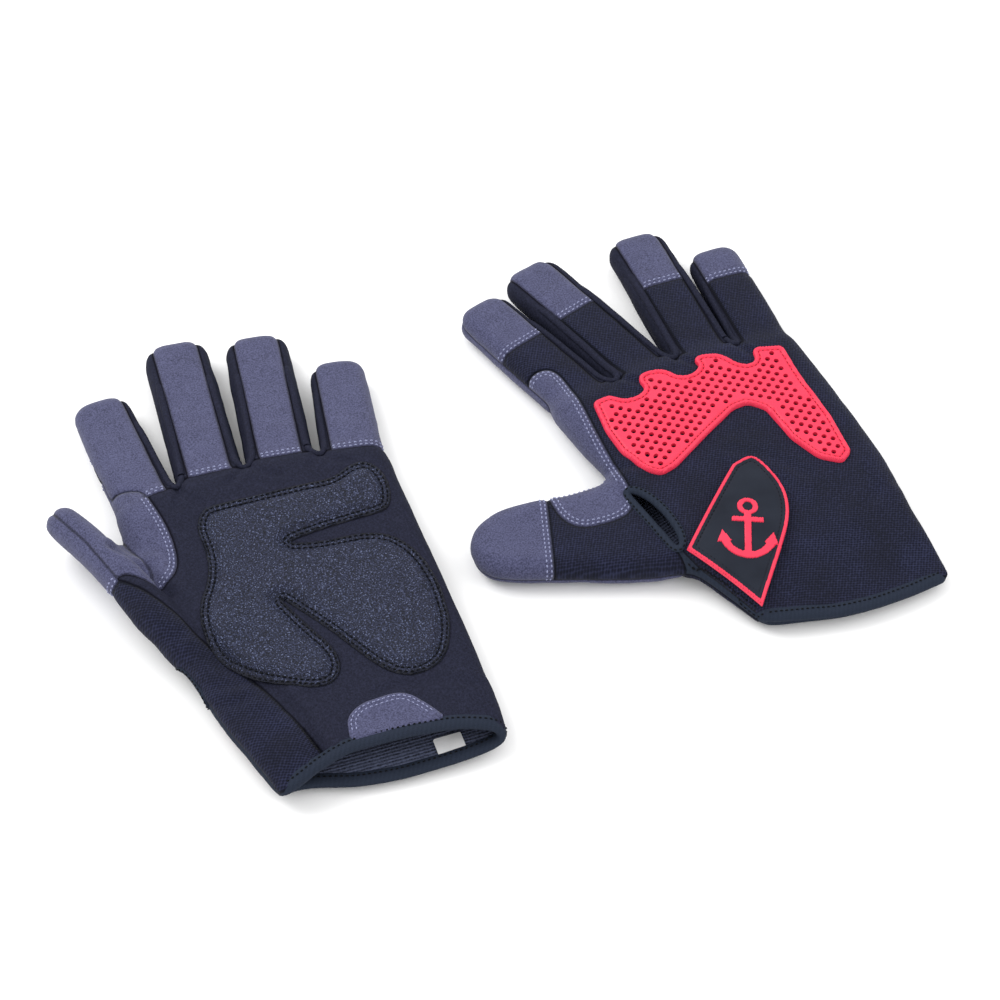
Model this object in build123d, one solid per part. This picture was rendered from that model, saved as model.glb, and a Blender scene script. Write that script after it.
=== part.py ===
"""A pair of full-finger sailing gloves lying side by side: the left palm up, the right back up.

Each glove is drawn once in its own pattern frame, palm down: x runs across the hand with the thumb at
minus x, y runs from the cuff to the fingers, and u is the height above the palm's outer face. The left
glove is the same build turned over. The row frame has +Z up and +Y along the fingers of the pair, with
the origin under the middle of the pair, on the surface that they lie on.
"""

from build123d import *
from math import atan2, cos, degrees, hypot, radians, sin
import os

# ---- driving dimensions, in millimetres ----
FABRIC = 1.4            # thickness of a sewn panel
LINING = 0.8            # thickness of the inner lining
HAND_ROOM = 14.2        # free height between the palm and back panels as the glove lies
GRIP_PAD = 2.0          # foam-backed grip patch on the palm
GUARD = 3.2             # moulded rubber knuckle guard
TAB_RUBBER = 1.7        # moulded pull of the wrist tab
TAPE = 0.6              # one half of the hook-and-loop fastener
SUEDE_PATCH = 1.0       # suede patches sewn over a panel
BINDING = 1.0           # bound edge of the cuff, how far it stands outside the panels
BINDING_WIDTH = 5.0
HINGE_GAP = 0.4         # fabric left out at each digit's fold line
PLAY = 0.3              # clearance between pieces of different bodies
FINGER_ROOM = 13.2      # free height inside a finger stall
TIP_SHARE = 0.42        # share of a finger's back that the suede tip covers
TIP_ROUNDNESS = 0.36    # radius of a tip's corners, as a share of its width
SIDE_GAP = 1.5          # the side strips stop short of the fold line
LINING_INSET = 2.5
STRAP = 2.0             # wrist strap where it lies on the back, with its bound edge
TAB_SET_IN = 2.0        # from the wrist's edge to the tab's fold line
TAPE_SHARE = 0.62       # size of the fastener pads against the tab
LABEL = (12.0, 16.0, 0.4)
LABEL_OFFSET = 25.0     # from the cuff's middle, towards the outer side
LABEL_GAP = 3.0

# ---- heights above the palm's outer face ----
U_PALM = GRIP_PAD
U_IN_LOW = U_PALM + FABRIC
U_IN_HIGH = U_IN_LOW + HAND_ROOM
U_BACK = U_IN_HIGH + FABRIC
U_TOP = U_BACK + GUARD

# ---- where each glove lies: cuff middle and turn about +Z ----
PLACES = {"left": ((-97.9, -121.1), -4.5), "right": ((116.4, -115.8), 5.0)}

# ---- plan of each hand, cuff to knuckles, as it lies ----
HANDS = {
    "left": {
        "cuff": [(-49, 8), (48, 3)],
        "outer": [(48, 3), (49.5, 28), (48, 72), (46.5, 120)],
        "thumb_side": [(-49, 8), (-63, 40), (-70, 64)],
        "web": [(-70, 112), (-76, 140)],
        "slit": [(-70, 100), (-60, 84), (-61, 66), (-66, 52)],
    },
    "right": {
        "cuff": [(-41, 7), (42, -4)],
        "outer": [(42, -4), (47, 37), (52, 75), (52.5, 110)],
        "thumb_side": [(-41, 7), (-49, 25), (-58, 47)],
        "web": [(-63, 108), (-64.5, 130)],
        "slit": [(-62, 97), (-52, 82), (-52.5, 64), (-57, 50)],
    },
}

# ---- digits: middle of the fold line, heading from +y, length, width at the fold and at the tip ----
DIGITS = {
    "left": {
        "index": ((-63.0, 163.5), 5.5, 69.0, 27.5, 26.0),
        "middle": ((-33.0, 168.0), -3.3, 88.0, 30.0, 28.5),
        "ring": ((-0.8, 168.0), -6.7, 81.0, 30.0, 28.5),
        "little": ((30.8, 162.5), -8.7, 60.0, 27.5, 24.5),
    },
    "right": {
        "index": ((-49.3, 150.0), 11.5, 78.0, 28.0, 26.5),
        "middle": ((-18.6, 152.5), 10.5, 86.0, 29.0, 29.0),
        "ring": ((11.6, 148.0), -6.5, 84.0, 28.5, 28.5),
        "little": ((39.4, 141.5), -8.5, 66.0, 25.5, 24.0),
    },
}
# The thumb's plan: its fold line on the hand's edge, then the two corners of its tip, and its height.
THUMBS = {
    "left": {
        "fold": [(-70.6, 66), (-70.6, 110)], "tip": [(-94, 166), (-111, 151)], "low": -6.0, "room": 21.0,
    },
    "right": {
        "fold": [(-58.6, 49), (-63.6, 107)], "tip": [(-130, 114), (-136, 82)], "low": U_PALM, "room": 11.6,
    },
}

# ---- trim, each drawn on the glove that shows it, then placed on the other one ----
GUARD_ON_RIGHT = [
    (-50, 140), (-41, 140), (-35, 136), (-26, 141), (-24, 145), (-14, 144), (-10, 137), (-2, 136), (5, 142),
    (14, 140), (20, 130), (26, 130), (31, 135), (42, 130), (40, 110), (39, 84), (36, 62), (29, 58),
    (21, 65), (16, 80), (15, 100), (10, 107), (2, 107), (-19, 98), (-37, 90), (-45, 89), (-50, 94),
    (-54, 109), (-54, 123),
]
GRIP_ON_LEFT = [
    (-47, 138), (-43, 146), (-38, 148), (6, 147), (18, 147), (25, 151), (33, 152), (38, 146), (40, 136),
    (37, 125), (32, 122), (11, 121), (-14, 118), (1, 114), (23, 113), (34, 107), (41, 95), (44, 77),
    (42, 55), (35, 39), (25, 33), (14, 34), (6, 42), (-8, 67), (-24, 92), (-16, 72), (-9, 58), (-8, 48),
    (-12, 41), (-19, 39), (-32, 44), (-46, 54), (-56, 67), (-59, 80), (-57, 95), (-48, 112), (-46, 125),
]
TAB_ON_RIGHT = [  # its fold line's two ends first
    (-56, 48), (-40.7, 11), (-18, 32), (-8, 43), (-3, 54), (-2.5, 65), (-4, 76), (-7, 79), (-16, 77),
]
PULL_ON_LEFT = [(-16, 9), (-14, 21), (-7, 26), (8, 27), (14, 25), (20, 17), (25, 8)]
TRIM_TURN = 4.0         # the left hand's knuckle line is turned this much against the right's
TRIM_PIVOT = (0, 100)


def raised(face, low, high):
    """A plan face given its thickness, between two heights."""
    return Pos(0, 0, low) * extrude(face, amount=high - low, dir=(0, 0, 1))


def plate(points, low, high):
    """A flat piece of one plan outline between two heights."""
    return raised(make_face(Polyline(*points, close=True)), low, high)


def wall(points, inward):
    """A strip of fabric standing between the palm and back panels, along a line of the plan."""
    inner = [(x + inward, y) for x, y in reversed(points)]
    return plate([*points, *inner], U_IN_LOW, U_IN_HIGH)


def heading(turn):
    """Unit vectors across and along a digit that is turned from +y."""
    a = radians(turn)
    return (cos(a), sin(a)), (-sin(a), cos(a))


def along_edge(a, b, share):
    return (a[0] + (b[0] - a[0]) * share, a[1] + (b[1] - a[1]) * share)


def digit_plan(middle, turn, length, base, tip):
    """A finger's plan: the fold line's two ends, then the tip's two corners, and its height."""
    across, along = heading(turn)

    def at(side, reach):
        return (middle[0] + across[0] * side + along[0] * reach, middle[1] + across[1] * side + along[1] * reach)

    return {
        "fold": [at(-base / 2, 0), at(base / 2, 0)], "tip": [at(tip / 2, length), at(-tip / 2, length)],
        "low": U_PALM, "room": FINGER_ROOM,
    }


def stall(plan):
    """A digit's stall as its separate panels: suede tip, back panel and the two side strips."""
    (left, right), (tip_right, tip_left) = plan["fold"], plan["tip"]
    fold = hypot(right[0] - left[0], right[1] - left[1])
    reach = min(
        abs((right[0] - left[0]) * (y - left[1]) - (right[1] - left[1]) * (x - left[0])) / fold
        for x, y in plan["tip"]
    )
    tip_radius = TIP_ROUNDNESS * hypot(tip_left[0] - tip_right[0], tip_left[1] - tip_right[1])

    def band(first, last, spread):
        """The plan between two shares of the digit's length, each side widened by a share of the width."""
        ends = [[along_edge(p, q, share) for p, q in ((left, tip_left), (right, tip_right))]
                for share in (first, last)]
        (a, b), (d, c) = [(along_edge(p, q, -spread), along_edge(p, q, 1 + spread)) for p, q in ends]
        return make_face(Polyline(a, b, c, d, close=True))

    plan_face = band(HINGE_GAP / reach, 1, 0)
    corners = [plan_face.vertices().sort_by_distance(Vertex(*tip, 0))[0] for tip in plan["tip"]]
    outline = fillet(corners, tip_radius)
    edge = outline - offset(outline, -FABRIC, kind=Kind.INTERSECTION)
    sides_start, curve_start = (HINGE_GAP + FABRIC + SIDE_GAP) / reach, 1 - tip_radius / reach
    low, roof = plan["low"] + FABRIC, plan["low"] + FABRIC + plan["room"]
    tip_area = outline & band(1 - TIP_SHARE, 1.3, 0.5)
    suede = raised(outline, plan["low"], low) + raised(edge & band(curve_start, 1.3, 0.5), low, roof)
    return {
        "suede": suede + raised(tip_area, roof, roof + FABRIC),
        "back": raised(outline & band(-0.1, 1 - TIP_SHARE, 0.5), roof, roof + FABRIC),
        "sides": raised(edge & band(sides_start, curve_start, 0.5), low, roof),
    }


def inset(points, distance):
    return offset(make_face(Polyline(*points, close=True)), -distance, kind=Kind.INTERSECTION)


def carried(points, step, turn=0.0):
    """A trim outline taken from one glove's pattern to the other's."""
    (px, py), (across, along) = TRIM_PIVOT, heading(turn)
    return [
        (px + across[0] * (x - px) + along[0] * (y - py) + step[0],
         py + across[1] * (x - px) + along[1] * (y - py) + step[1])
        for x, y in points
    ]


def trim(side):
    """The outlines of one glove's moulded and sewn-on trim."""
    if side == "right":
        return {
            "guard": GUARD_ON_RIGHT,
            "grip": carried(GRIP_ON_LEFT, (4, -11), -TRIM_TURN),
            "tab": TAB_ON_RIGHT,
            "pull": carried(PULL_ON_LEFT, (8, -6.3), -TRIM_TURN),
        }
    return {
        "guard": carried(GUARD_ON_RIGHT, (-7, 14), TRIM_TURN),
        "grip": GRIP_ON_LEFT,
        "tab": carried(TAB_ON_RIGHT, (-7, 0)),
        "pull": PULL_ON_LEFT,
    }


def hand(side):
    """The pieces of one hand that don't move with a digit or with the wrist tab."""
    plan, sewn = HANDS[side], trim(side)
    fingers = [digit_plan(*DIGITS[side][name])["fold"] for name in ("little", "ring", "middle", "index")]
    knuckles = [point for left, right in fingers for point in (right, left)]
    outer_end, index_left = fingers[0][1], fingers[3][0]
    wrist = plan["thumb_side"]
    outline = [*plan["outer"], *knuckles, *reversed(plan["web"]), *reversed(wrist)]
    back_outline = [*plan["outer"], *knuckles, *reversed(plan["web"]), *plan["slit"], *reversed(wrist[:-1])]
    pieces = {
        "palm_panel": plate(outline, U_PALM, U_IN_LOW),
        "back_panel": plate(back_outline, U_IN_HIGH, U_BACK),
        "outer_side_panel": wall([*plan["outer"], outer_end], -FABRIC),
        "web_patch": wall([*plan["web"], index_left], FABRIC),
        "lining": Compound([
            raised(inset(outline, LINING_INSET), U_IN_LOW, U_IN_LOW + LINING),
            raised(inset(back_outline, LINING_INSET), U_IN_HIGH - LINING, U_IN_HIGH),
        ]),
        "grip_patch": plate(sewn["grip"], 0, GRIP_PAD),
        "pull_patch": plate(sewn["pull"], U_PALM - SUEDE_PATCH, U_PALM),
        "knuckle_guard": plate(sewn["guard"], U_BACK, U_TOP),
        "loop_pad": plate(tape_pad(sewn["tab"]), U_BACK, U_BACK + TAPE),
    }

    # The wrist strap stands at the thumb side of the wrist and turns over onto the back, up to the tab.
    outside, inside = [[(x + step, y) for x, y in wrist] for step in (-FABRIC, TAB_SET_IN - PLAY)]
    pieces["wrist_strap"] = plate([*wrist, *reversed(outside)], U_PALM, U_BACK + STRAP)
    pieces["wrist_strap"] += plate([*outside, *reversed(inside)], U_BACK, U_BACK + STRAP)

    # The binding closes the panels' cut edges round the cuff's mouth, and the label is sewn inside it.
    (x0, y0), (x1, y1) = plan["cuff"]
    run, tall = hypot(x1 - x0, y1 - y0), U_BACK - U_PALM
    ring = Rectangle(run, tall + 2 * BINDING) - Rectangle(run - 2 * FABRIC, tall - 2 * FABRIC)
    mouth = Plane(
        origin=((x0 + x1) / 2, (y0 + y1) / 2, (U_PALM + U_BACK) / 2),
        x_dir=(x1 - x0, y1 - y0, 0), z_dir=(y1 - y0, x0 - x1, 0),
    )
    pieces["cuff_binding"] = mouth * extrude(ring, amount=BINDING_WIDTH)
    pieces["outer_side_panel"] -= pieces["cuff_binding"]
    label = Box(*LABEL, align=(Align.CENTER, Align.MIN, Align.MAX))
    turn = degrees(atan2(y1 - y0, x1 - x0))
    spot = Pos((x0 + x1) / 2 + LABEL_OFFSET, (y0 + y1) / 2 + LABEL_GAP, U_IN_HIGH - LINING)
    pieces["size_label"] = spot * Rot(0, 0, turn) * label
    return pieces


def tape_pad(tab):
    """The plan of the hook-and-loop pads: the tab's outline drawn in towards its middle."""
    middle = (sum(x for x, _ in tab) / len(tab), sum(y for _, y in tab) / len(tab))
    return [along_edge(middle, corner, TAPE_SHARE) for corner in tab]


def wrist_tab(side):
    """The rubber pull of the wrist tab, and the hook pad under it."""
    outline, low = trim(side)["tab"], U_BACK + TAPE + PLAY
    return {
        "tab_pull": plate(outline, low + TAPE, low + TAPE + TAB_RUBBER),
        "hook_pad": plate(tape_pad(outline), low, low + TAPE),
    }


def settle(shape, side):
    """From the pattern frame to the row frame: the left glove is turned over, and each is laid in place."""
    (x, y), turn = PLACES[side]
    if side == "left":
        shape = mirror(shape, about=Plane.XY.offset(U_TOP / 2))
    return Pos(x, y, 0) * (Rot(0, 0, turn) * shape)


def build():
    pieces = {}
    for side in ("left", "right"):
        made = {**hand(side), **wrist_tab(side)}
        plans = {name: digit_plan(*DIGITS[side][name]) for name in DIGITS[side]}
        plans["thumb"] = THUMBS[side]
        for name, plan in plans.items():
            for panel, solid in stall(plan).items():
                made[f"{name}_{panel}"] = solid
        for name, solid in made.items():
            pieces[f"{side}_{name}"] = settle(solid, side)
    return pieces


pieces = build()
box = Compound([*pieces.values()]).bounding_box()
shift = Pos(-(box.min.X + box.max.X) / 2, -(box.min.Y + box.max.Y) / 2, -box.min.Z)
os.makedirs("parts", exist_ok=True)
for name, solid in pieces.items():
    export_step(shift * solid, f"parts/{name}.step")
print("pair", box.size, "shift", shift.position)
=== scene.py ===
"""The looks of the sailing gloves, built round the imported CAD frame.

Each glove is made in its pattern frame, in millimetres, palm down: x across the hand with the thumb at
minus x, y from the cuff to the fingers, u the height above the palm's outer face. The left glove is then
turned over. One skin is grown from a distance field, cut into its sewn panels and given seams.
"""

from math import cos, radians, sin

import bpy
import numpy as np
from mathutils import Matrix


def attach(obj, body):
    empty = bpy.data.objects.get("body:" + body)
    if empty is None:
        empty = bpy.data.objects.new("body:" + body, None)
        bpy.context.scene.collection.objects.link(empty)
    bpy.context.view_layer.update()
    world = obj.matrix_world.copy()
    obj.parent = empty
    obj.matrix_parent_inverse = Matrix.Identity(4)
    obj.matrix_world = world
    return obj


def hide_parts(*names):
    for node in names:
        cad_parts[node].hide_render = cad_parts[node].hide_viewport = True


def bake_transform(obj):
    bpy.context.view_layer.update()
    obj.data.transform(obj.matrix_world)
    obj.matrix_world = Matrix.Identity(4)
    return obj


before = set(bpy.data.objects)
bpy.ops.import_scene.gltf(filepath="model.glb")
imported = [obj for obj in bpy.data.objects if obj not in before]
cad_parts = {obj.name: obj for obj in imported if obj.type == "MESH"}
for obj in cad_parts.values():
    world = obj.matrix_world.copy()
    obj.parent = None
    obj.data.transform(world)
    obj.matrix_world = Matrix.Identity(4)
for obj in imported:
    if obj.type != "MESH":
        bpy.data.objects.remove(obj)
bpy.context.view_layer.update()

import openvdb
from mathutils import Vector
from mathutils.bvhtree import BVHTree
from mathutils.kdtree import KDTree

# ---- where each glove lies in the row frame, as in the CAD: cuff middle (mm) and turn about +Z ----
PLACES = {"left": ((-81.2065, -126.0861), -4.5), "right": ((133.0935, -120.7861), 5.0)}
TURNED_OVER = 22.2      # the left glove's z is this less u
VOXEL = 1.3             # of the skin's distance field
SHELL = 1.1             # thickness of a sewn panel
DIGIT_BEND, TAB_BEND = 24.0, 8.0    # how far past a digit's or a tab's fold line a bend would reach; no piece is bent
FAR = 9.0               # the distance to a seam given to pieces without one
FINGERS = ("index", "middle", "ring", "little")
DIGITS = {  # fold middle, heading from +y, length, width at the fold and at the tip
    "left": {
        "index": ((-63.0, 163.5), 5.5, 69.0, 27.5, 26.0),
        "middle": ((-33.0, 168.0), -3.3, 88.0, 30.0, 28.5),
        "ring": ((-0.8, 168.0), -6.7, 81.0, 30.0, 28.5),
        "little": ((30.8, 162.5), -8.7, 60.0, 27.5, 24.5),
    },
    "right": {
        "index": ((-49.3, 150.0), 11.5, 78.0, 28.0, 26.5),
        "middle": ((-18.6, 152.5), 10.5, 86.0, 29.0, 29.0),
        "ring": ((11.6, 148.0), -6.5, 84.0, 28.5, 28.5),
        "little": ((39.4, 141.5), -8.5, 66.0, 25.5, 24.0),
    },
}
THUMB_FOLD = {"left": ((-70.6, 66.0), (-70.6, 110.0)), "right": ((-58.6, 49.0), (-63.6, 107.0))}
CAP_FROM = {"index": 0.54, "middle": 0.54, "ring": 0.555, "little": 0.66}  # suede cap on a finger's back
HAND_PLAN = {
    "left": [(48, -12), (49.5, 12), (49, 30), (48.4, 71), (46.5, 120), (45.8, 141), (45, 158), (31, 164),
             (-1, 169), (-33, 169), (-63, 165), (-76, 161), (-76.5, 150), (-75, 138), (-72, 120),
             (-70, 100), (-70, 80), (-68, 62), (-62, 38), (-54, 15), (-50, 3), (-48, -12)],
    "right": [(43, -18), (44.5, 0), (47.5, 37), (51, 61), (53, 107), (52.5, 130), (51.5, 139), (39, 142.5),
              (12, 149.5), (-19, 153.5), (-49, 151), (-63, 153), (-65.5, 143), (-64.5, 126), (-62, 108),
              (-59, 80), (-58, 50), (-54, 38), (-45, 14), (-41, 4), (-39, -18)],
}
RIGHT_THUMB_PLAN = [(-48, 47), (-64, 46), (-86, 56), (-108, 67.8), (-127, 77.5), (-134, 83.5), (-136.5, 92),
                    (-134.5, 101), (-126, 109), (-114, 111.3), (-98, 108.5), (-84, 104.3), (-64, 102.3),
                    (-48, 104)]
# Left thumb, along its length from the fold: sideways, u of its middle, half width, half thickness, roll.
LEFT_THUMB = {
    "at": [-20, -8, 11, 33, 57, 84], "side": [12.5, 9.8, 5.8, 3.3, 2.3, -0.5],
    "mid": [9.5, 9.5, 8, 6.5, 6, 5], "width": [14, 16.5, 17, 15.5, 14, 12],
    "thick": [8, 8, 8, 8, 7.6, 7], "roll": [5, 12, 38, 60, 68, 70],
}
WEB_PALM_LEFT = [(-90, 114), (-66, 113), (-61.5, 118), (-58.5, 125), (-57.8, 138), (-59.5, 151), (-62, 160),
                 (-63, 170), (-95, 172)]
WEB_BACK_RIGHT = [(-60, 87), (-59, 108), (-57.4, 123), (-55, 142), (-53.4, 160), (-55, 170), (-61, 173),
                  (-68, 171), (-90, 168), (-90, 125), (-91, 112), (-93.5, 101.5), (-94, 93.5), (-92, 85.5),
                  (-85, 80.5), (-66, 78.5)]
# The inner seam of the knit at the palm's thumb side.
PALM_KNIT = [(-25, -10), (-27.6, 8), (-32.4, 24.5), (-42, 48), (-59, 77), (-66, 92), (-77, 106), (-90, 118)]


def pattern_to_row(side, p):
    (px, py), turn = PLACES[side]
    c, s = cos(radians(turn)), sin(radians(turn))
    p = np.asarray(p, float)
    z = TURNED_OVER - p[..., 2] if side == "left" else p[..., 2]
    # What would lie lower than this is pressed flat, just above the floor.
    flat_from, least = 0.6, 0.1
    z = np.where(z < flat_from, least + 0.5 * np.exp(np.minimum(z - flat_from, 0) / 0.5), z)
    return np.stack([p[..., 0] * c - p[..., 1] * s + px, p[..., 0] * s + p[..., 1] * c + py, z], -1) / 1000


def unit(v):
    return v / np.maximum(np.linalg.norm(v, axis=-1, keepdims=True), 1e-9)


def ease(t):
    """From 0 to 1, starting and ending gently."""
    t = np.clip(t, 0, 1)
    return t * t * (3 - 2 * t)


def soften(points, rounds=2, closed=True, cut=99.0):
    """Cuts the corners of a line, so that it runs smoothly. cut is the most taken off along a side (mm)."""
    p = np.asarray(points, float)
    for _ in range(rounds):
        q = np.roll(p, -1, 0) if closed else p[1:]
        p0 = p if closed else p[:-1]
        share = np.minimum(0.25, cut / np.maximum(np.linalg.norm(q - p0, axis=1), 1e-6))[:, None]
        r = np.stack([(1 - share) * p0 + share * q, share * p0 + (1 - share) * q], 1)
        r = r.reshape(-1, p.shape[1])
        cut = cut / 2.5
        p = r if closed else np.concatenate([p[:1], r, p[-1:]])
    return p


def inside_distance(x, y, points):
    """Distance to a closed outline, negative inside."""
    x, y = np.broadcast_arrays(x, y)
    best, odd = np.full(x.shape, 1e9), np.zeros(x.shape, bool)
    for (ax, ay), (bx, by) in zip(points, np.roll(points, -1, 0)):
        dx, dy = bx - ax, by - ay
        t = np.clip(((x - ax) * dx + (y - ay) * dy) / (dx * dx + dy * dy + 1e-9), 0, 1)
        best = np.minimum(best, (x - ax - t * dx) ** 2 + (y - ay - t * dy) ** 2)
        crosses = (ay > y) != (by > y)
        odd ^= crosses & (x < dx * (y - ay) / (dy if abs(dy) > 1e-9 else 1e-9) + ax)
    return np.where(odd, -1, 1) * np.sqrt(best)


def corner(a, b, radius):
    """Distance to the rounded corner between two faces, whose distances are a and b less the radius."""
    a, b = a + radius, b + radius
    return np.hypot(np.maximum(a, 0), np.maximum(b, 0)) + np.minimum(np.maximum(a, b), 0) - radius


def rounded(plan, height, half, edge):
    """Distance to a slab: plan distance, height from its middle, half thickness, radius of its edges."""
    return corner(plan, np.abs(height) - half, edge)


def melt(a, b, k):
    h = np.maximum(k - np.abs(a - b), 0) / k
    return np.minimum(a, b) - h * h * k / 4


LATTICE = np.random.default_rng(7).random((32, 32, 32))


def noise(p, size):
    """Smooth noise from -1 to 1 with features of about this size."""
    q = np.asarray(p) / size
    i = np.floor(q).astype(int)
    f = q - i
    f = f * f * (3 - 2 * f)
    total = 0
    for dx in (0, 1):
        for dy in (0, 1):
            for dz in (0, 1):
                w = np.abs(1 - dx - f[:, 0]) * np.abs(1 - dy - f[:, 1]) * np.abs(1 - dz - f[:, 2])
                total = total + w * LATTICE[(i[:, 0] + dx) % 32, (i[:, 1] + dy) % 32, (i[:, 2] + dz) % 32]
    return total * 2 - 1


class Glove:
    """The shape of one glove and the lines of its panels, all in its pattern frame."""

    def __init__(self, side):
        self.side = side
        self.left = side == "left"
        self.plan = soften(HAND_PLAN[side])
        self.thumb_plan = soften(RIGHT_THUMB_PLAN)
        step = np.array((-12, 15)) if self.left else np.zeros(2)
        self.web_back = soften(np.array(WEB_BACK_RIGHT) + step)
        self.web_palm = soften(np.array(WEB_PALM_LEFT) - (0 if self.left else np.array((-12, 15))))
        shift = 0 if self.left else 9
        self.palm_knit = np.array(PALM_KNIT) + (shift, -shift)

    def hand_faces(self, x, y):
        """The hand's middle height and half thickness."""
        dome = 1 - np.clip(((x + 8) / 62) ** 2, 0, 1)
        if self.left:
            low = 3.6 - 2.2 * dome - 2.6 * dome * ease((22 - y) / 30)
            high = np.full_like(low, 18.0) + 0.9 * dome
            thin = 5.5 * (1 - dome) * ease((18 - y) / 26)
            slope = 5.0 * ease((-8 - x) / 26) * ease((24 - y) / 28)
            low, high = low + thin + slope, high - 0.3 * thin
        else:
            low = 3.3 - 0.6 * dome + 0 * y
            at, heights = [-14, 0, 14, 32, 55, 90, 130, 155], [6.2, 8.0, 12, 16.5, 18.6, 19, 18.6, 18]
            high = np.interp(y, at, heights)
            high = high + 2.2 * dome
        return (low + high) / 2, (high - low) / 2

    def hand(self, x, y, u):
        mid, half = self.hand_faces(x, y)
        return rounded(inside_distance(x, y, self.plan), u - mid, half, 0.96 * half)

    def digit(self, name, x, y, u):
        """A digit's own coordinates: across, along from the fold, height from its middle; half sizes."""
        (cx, cy), turn, length, base, tip = DIGITS[self.side][name]
        c, s = cos(radians(turn)), sin(radians(turn))
        across, along = (x - cx) * c + (y - cy) * s, -(x - cx) * s + (y - cy) * c
        at = [-26, -6, 0, length * 0.5, length]
        width = np.interp(along, at, [base * 0.36, base * 0.48, base / 2, (base + tip) / 4 + 0.3, tip / 2])
        half = np.interp(along, at, [4.5, 7.4, 7.9, 7.7, 7.0])
        mids = [10.8, 10.6, 10.8, 12.8, 14.4] if self.left else [10.4, 10.0, 9.8, 9.2, 8.4]
        return across, along, u - np.interp(along, at, mids), width, half, length

    def finger(self, name, x, y, u):
        across, along, height, width, half, length = self.digit(name, x, y, u)
        root = 13       # how far it reaches back into the hand
        past_ends = np.abs(along - length / 2 + root) - (length / 2 + root)
        plan = corner(np.abs(across) - width, past_ends, 0.66 * width)
        return rounded(plan, height, half, 0.9 * half)

    def left_thumb(self, x, y, u):
        """The standing thumb's own coordinates: across its width, along, through it; half sizes."""
        c, s = cos(radians(22.1)), sin(radians(22.1))
        across, along = (x + 70.6) * c + (y - 88) * s, -(x + 70.6) * s + (y - 88) * c
        keys = ("side", "mid", "width", "thick", "roll")
        side, mid, width, thick, roll = (np.interp(along, LEFT_THUMB["at"], LEFT_THUMB[k]) for k in keys)
        a, v = across - side, u - mid
        r = np.radians(roll)
        # The roll lifts the thumb's outer edge towards the palm's side, which lies at low u.
        return a * np.cos(r) + v * np.sin(r), along, v * np.cos(r) - a * np.sin(r), width, thick

    def thumb(self, x, y, u):
        if not self.left:
            mid = 9.2 + 0 * x
            half = np.interp(x, [-137, -110, -60], [6.6, 7.4, 8.2])
            return rounded(inside_distance(x, y, self.thumb_plan), u - mid, half, 0.92 * half)
        wide, along, through, width, thick = self.left_thumb(x, y, u)
        plan = corner(np.abs(wide) - width, np.abs(along - 32) - 52, 10.0)
        return rounded(plan, through, thick, 0.9 * thick)

    def volume(self, x, y, u):
        digits = self.finger("index", x, y, u)
        for name in FINGERS[1:]:
            digits = np.minimum(digits, self.finger(name, x, y, u))
        body = melt(self.hand(x, y, u), digits, 7.0)
        return melt(body, self.thumb(x, y, u), 9.0)

    def past_thumb_fold(self, x, y):
        (ax, ay), (bx, by) = THUMB_FOLD[self.side]
        n = np.hypot(bx - ax, by - ay)
        return -((x - ax) * (by - ay) - (y - ay) * (bx - ax)) / n

    def cuff_line(self, x, toward_back):
        """y of the cut edge, from its palm side (0) to its back (1)."""
        if self.left:
            palm = [(-52, -1), (-48, -1), (-40, 0.5), (-29, 5), (-17, 7), (3, 6.5), (27, 5), (40, 2),
                    (50, -1)]
            back = [(-52, 3), (-48, 4), (-40, 5.5), (-31, 4), (-16, -1), (3.5, -3), (29, -3), (47, -1.5),
                    (50, -1)]
            palm, back = (np.interp(x, *zip(*line)) for line in (palm, back))
        else:
            back = np.interp(x, [-44, -38, -30, -22, -10, 5, 23, 42], [8, 5, 2, -0.5, -5, -8, -9, -8.5])
            palm = back + 2.6
        return palm + (back - palm) * ease(toward_back)

    def labels(self, p):
        """The panel that each point of the skin belongs to, as (body, panel) numbers in LABELS."""
        x, y, u = p[:, 0], p[:, 1], p[:, 2]
        mid, half = self.hand_faces(x, y)
        v = u - mid
        toward_back = (v / half + 1) / 2
        back_side = v > -1.0
        web = inside_distance(x, y, self.web_palm) < 0
        web = np.where(v > 0, inside_distance(x, y, self.web_back) < 0, web)
        knit_x = np.interp(y, self.palm_knit[:, 1], self.palm_knit[:, 0])
        slit = inside_distance(x, y, SLIT[self.side])
        strap = inside_distance(x, y, STRAP_AREA[self.side]) < 0
        out = np.full(len(x), LABEL["hand", "palm_panel"])
        out[(x < knit_x) & ~back_side] = LABEL["hand", "wrist_panel"]
        out[back_side] = LABEL["hand", "back_panel"]
        out[back_side & strap] = LABEL["hand", "wrist_strap"]
        out[web] = LABEL["hand", "web_patch"]
        out[(slit < 0) & (v > 0)] = LABEL["off", "slit"]
        out[y < self.cuff_line(x, toward_back)] = LABEL["off", "mouth"]

        nearest = np.argmin([self.finger(n, x, y, u) for n in FINGERS], 0)
        for i, name in enumerate(FINGERS):
            across, along, height, width, _, length = self.digit(name, x, y, u)
            own = (nearest == i) & (along > 0) & (np.abs(across) < width + 7)
            strip = np.interp(along, [0, length - 6, length], [9.6, 10.4, 9.4])
            in_strip = np.abs(across) < strip
            if name == "index":
                in_strip |= across < 0
            if name == "little":
                in_strip |= across > 0
            palmar = height < np.where(np.abs(across) > strip, 1.0, 0.0)
            suede = in_strip & (along > CAP_FROM[name] * length)
            out[own] = LABEL[name, "sides"]
            out[own & in_strip] = LABEL[name, "back"]
            out[own & suede] = LABEL[name, "cap"]
            out[own & in_strip & palmar] = LABEL[name, "pad"]
            if name == "index":
                out[own & web & (across < 0) & (along < 26)] = LABEL[name, "web"]

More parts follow.
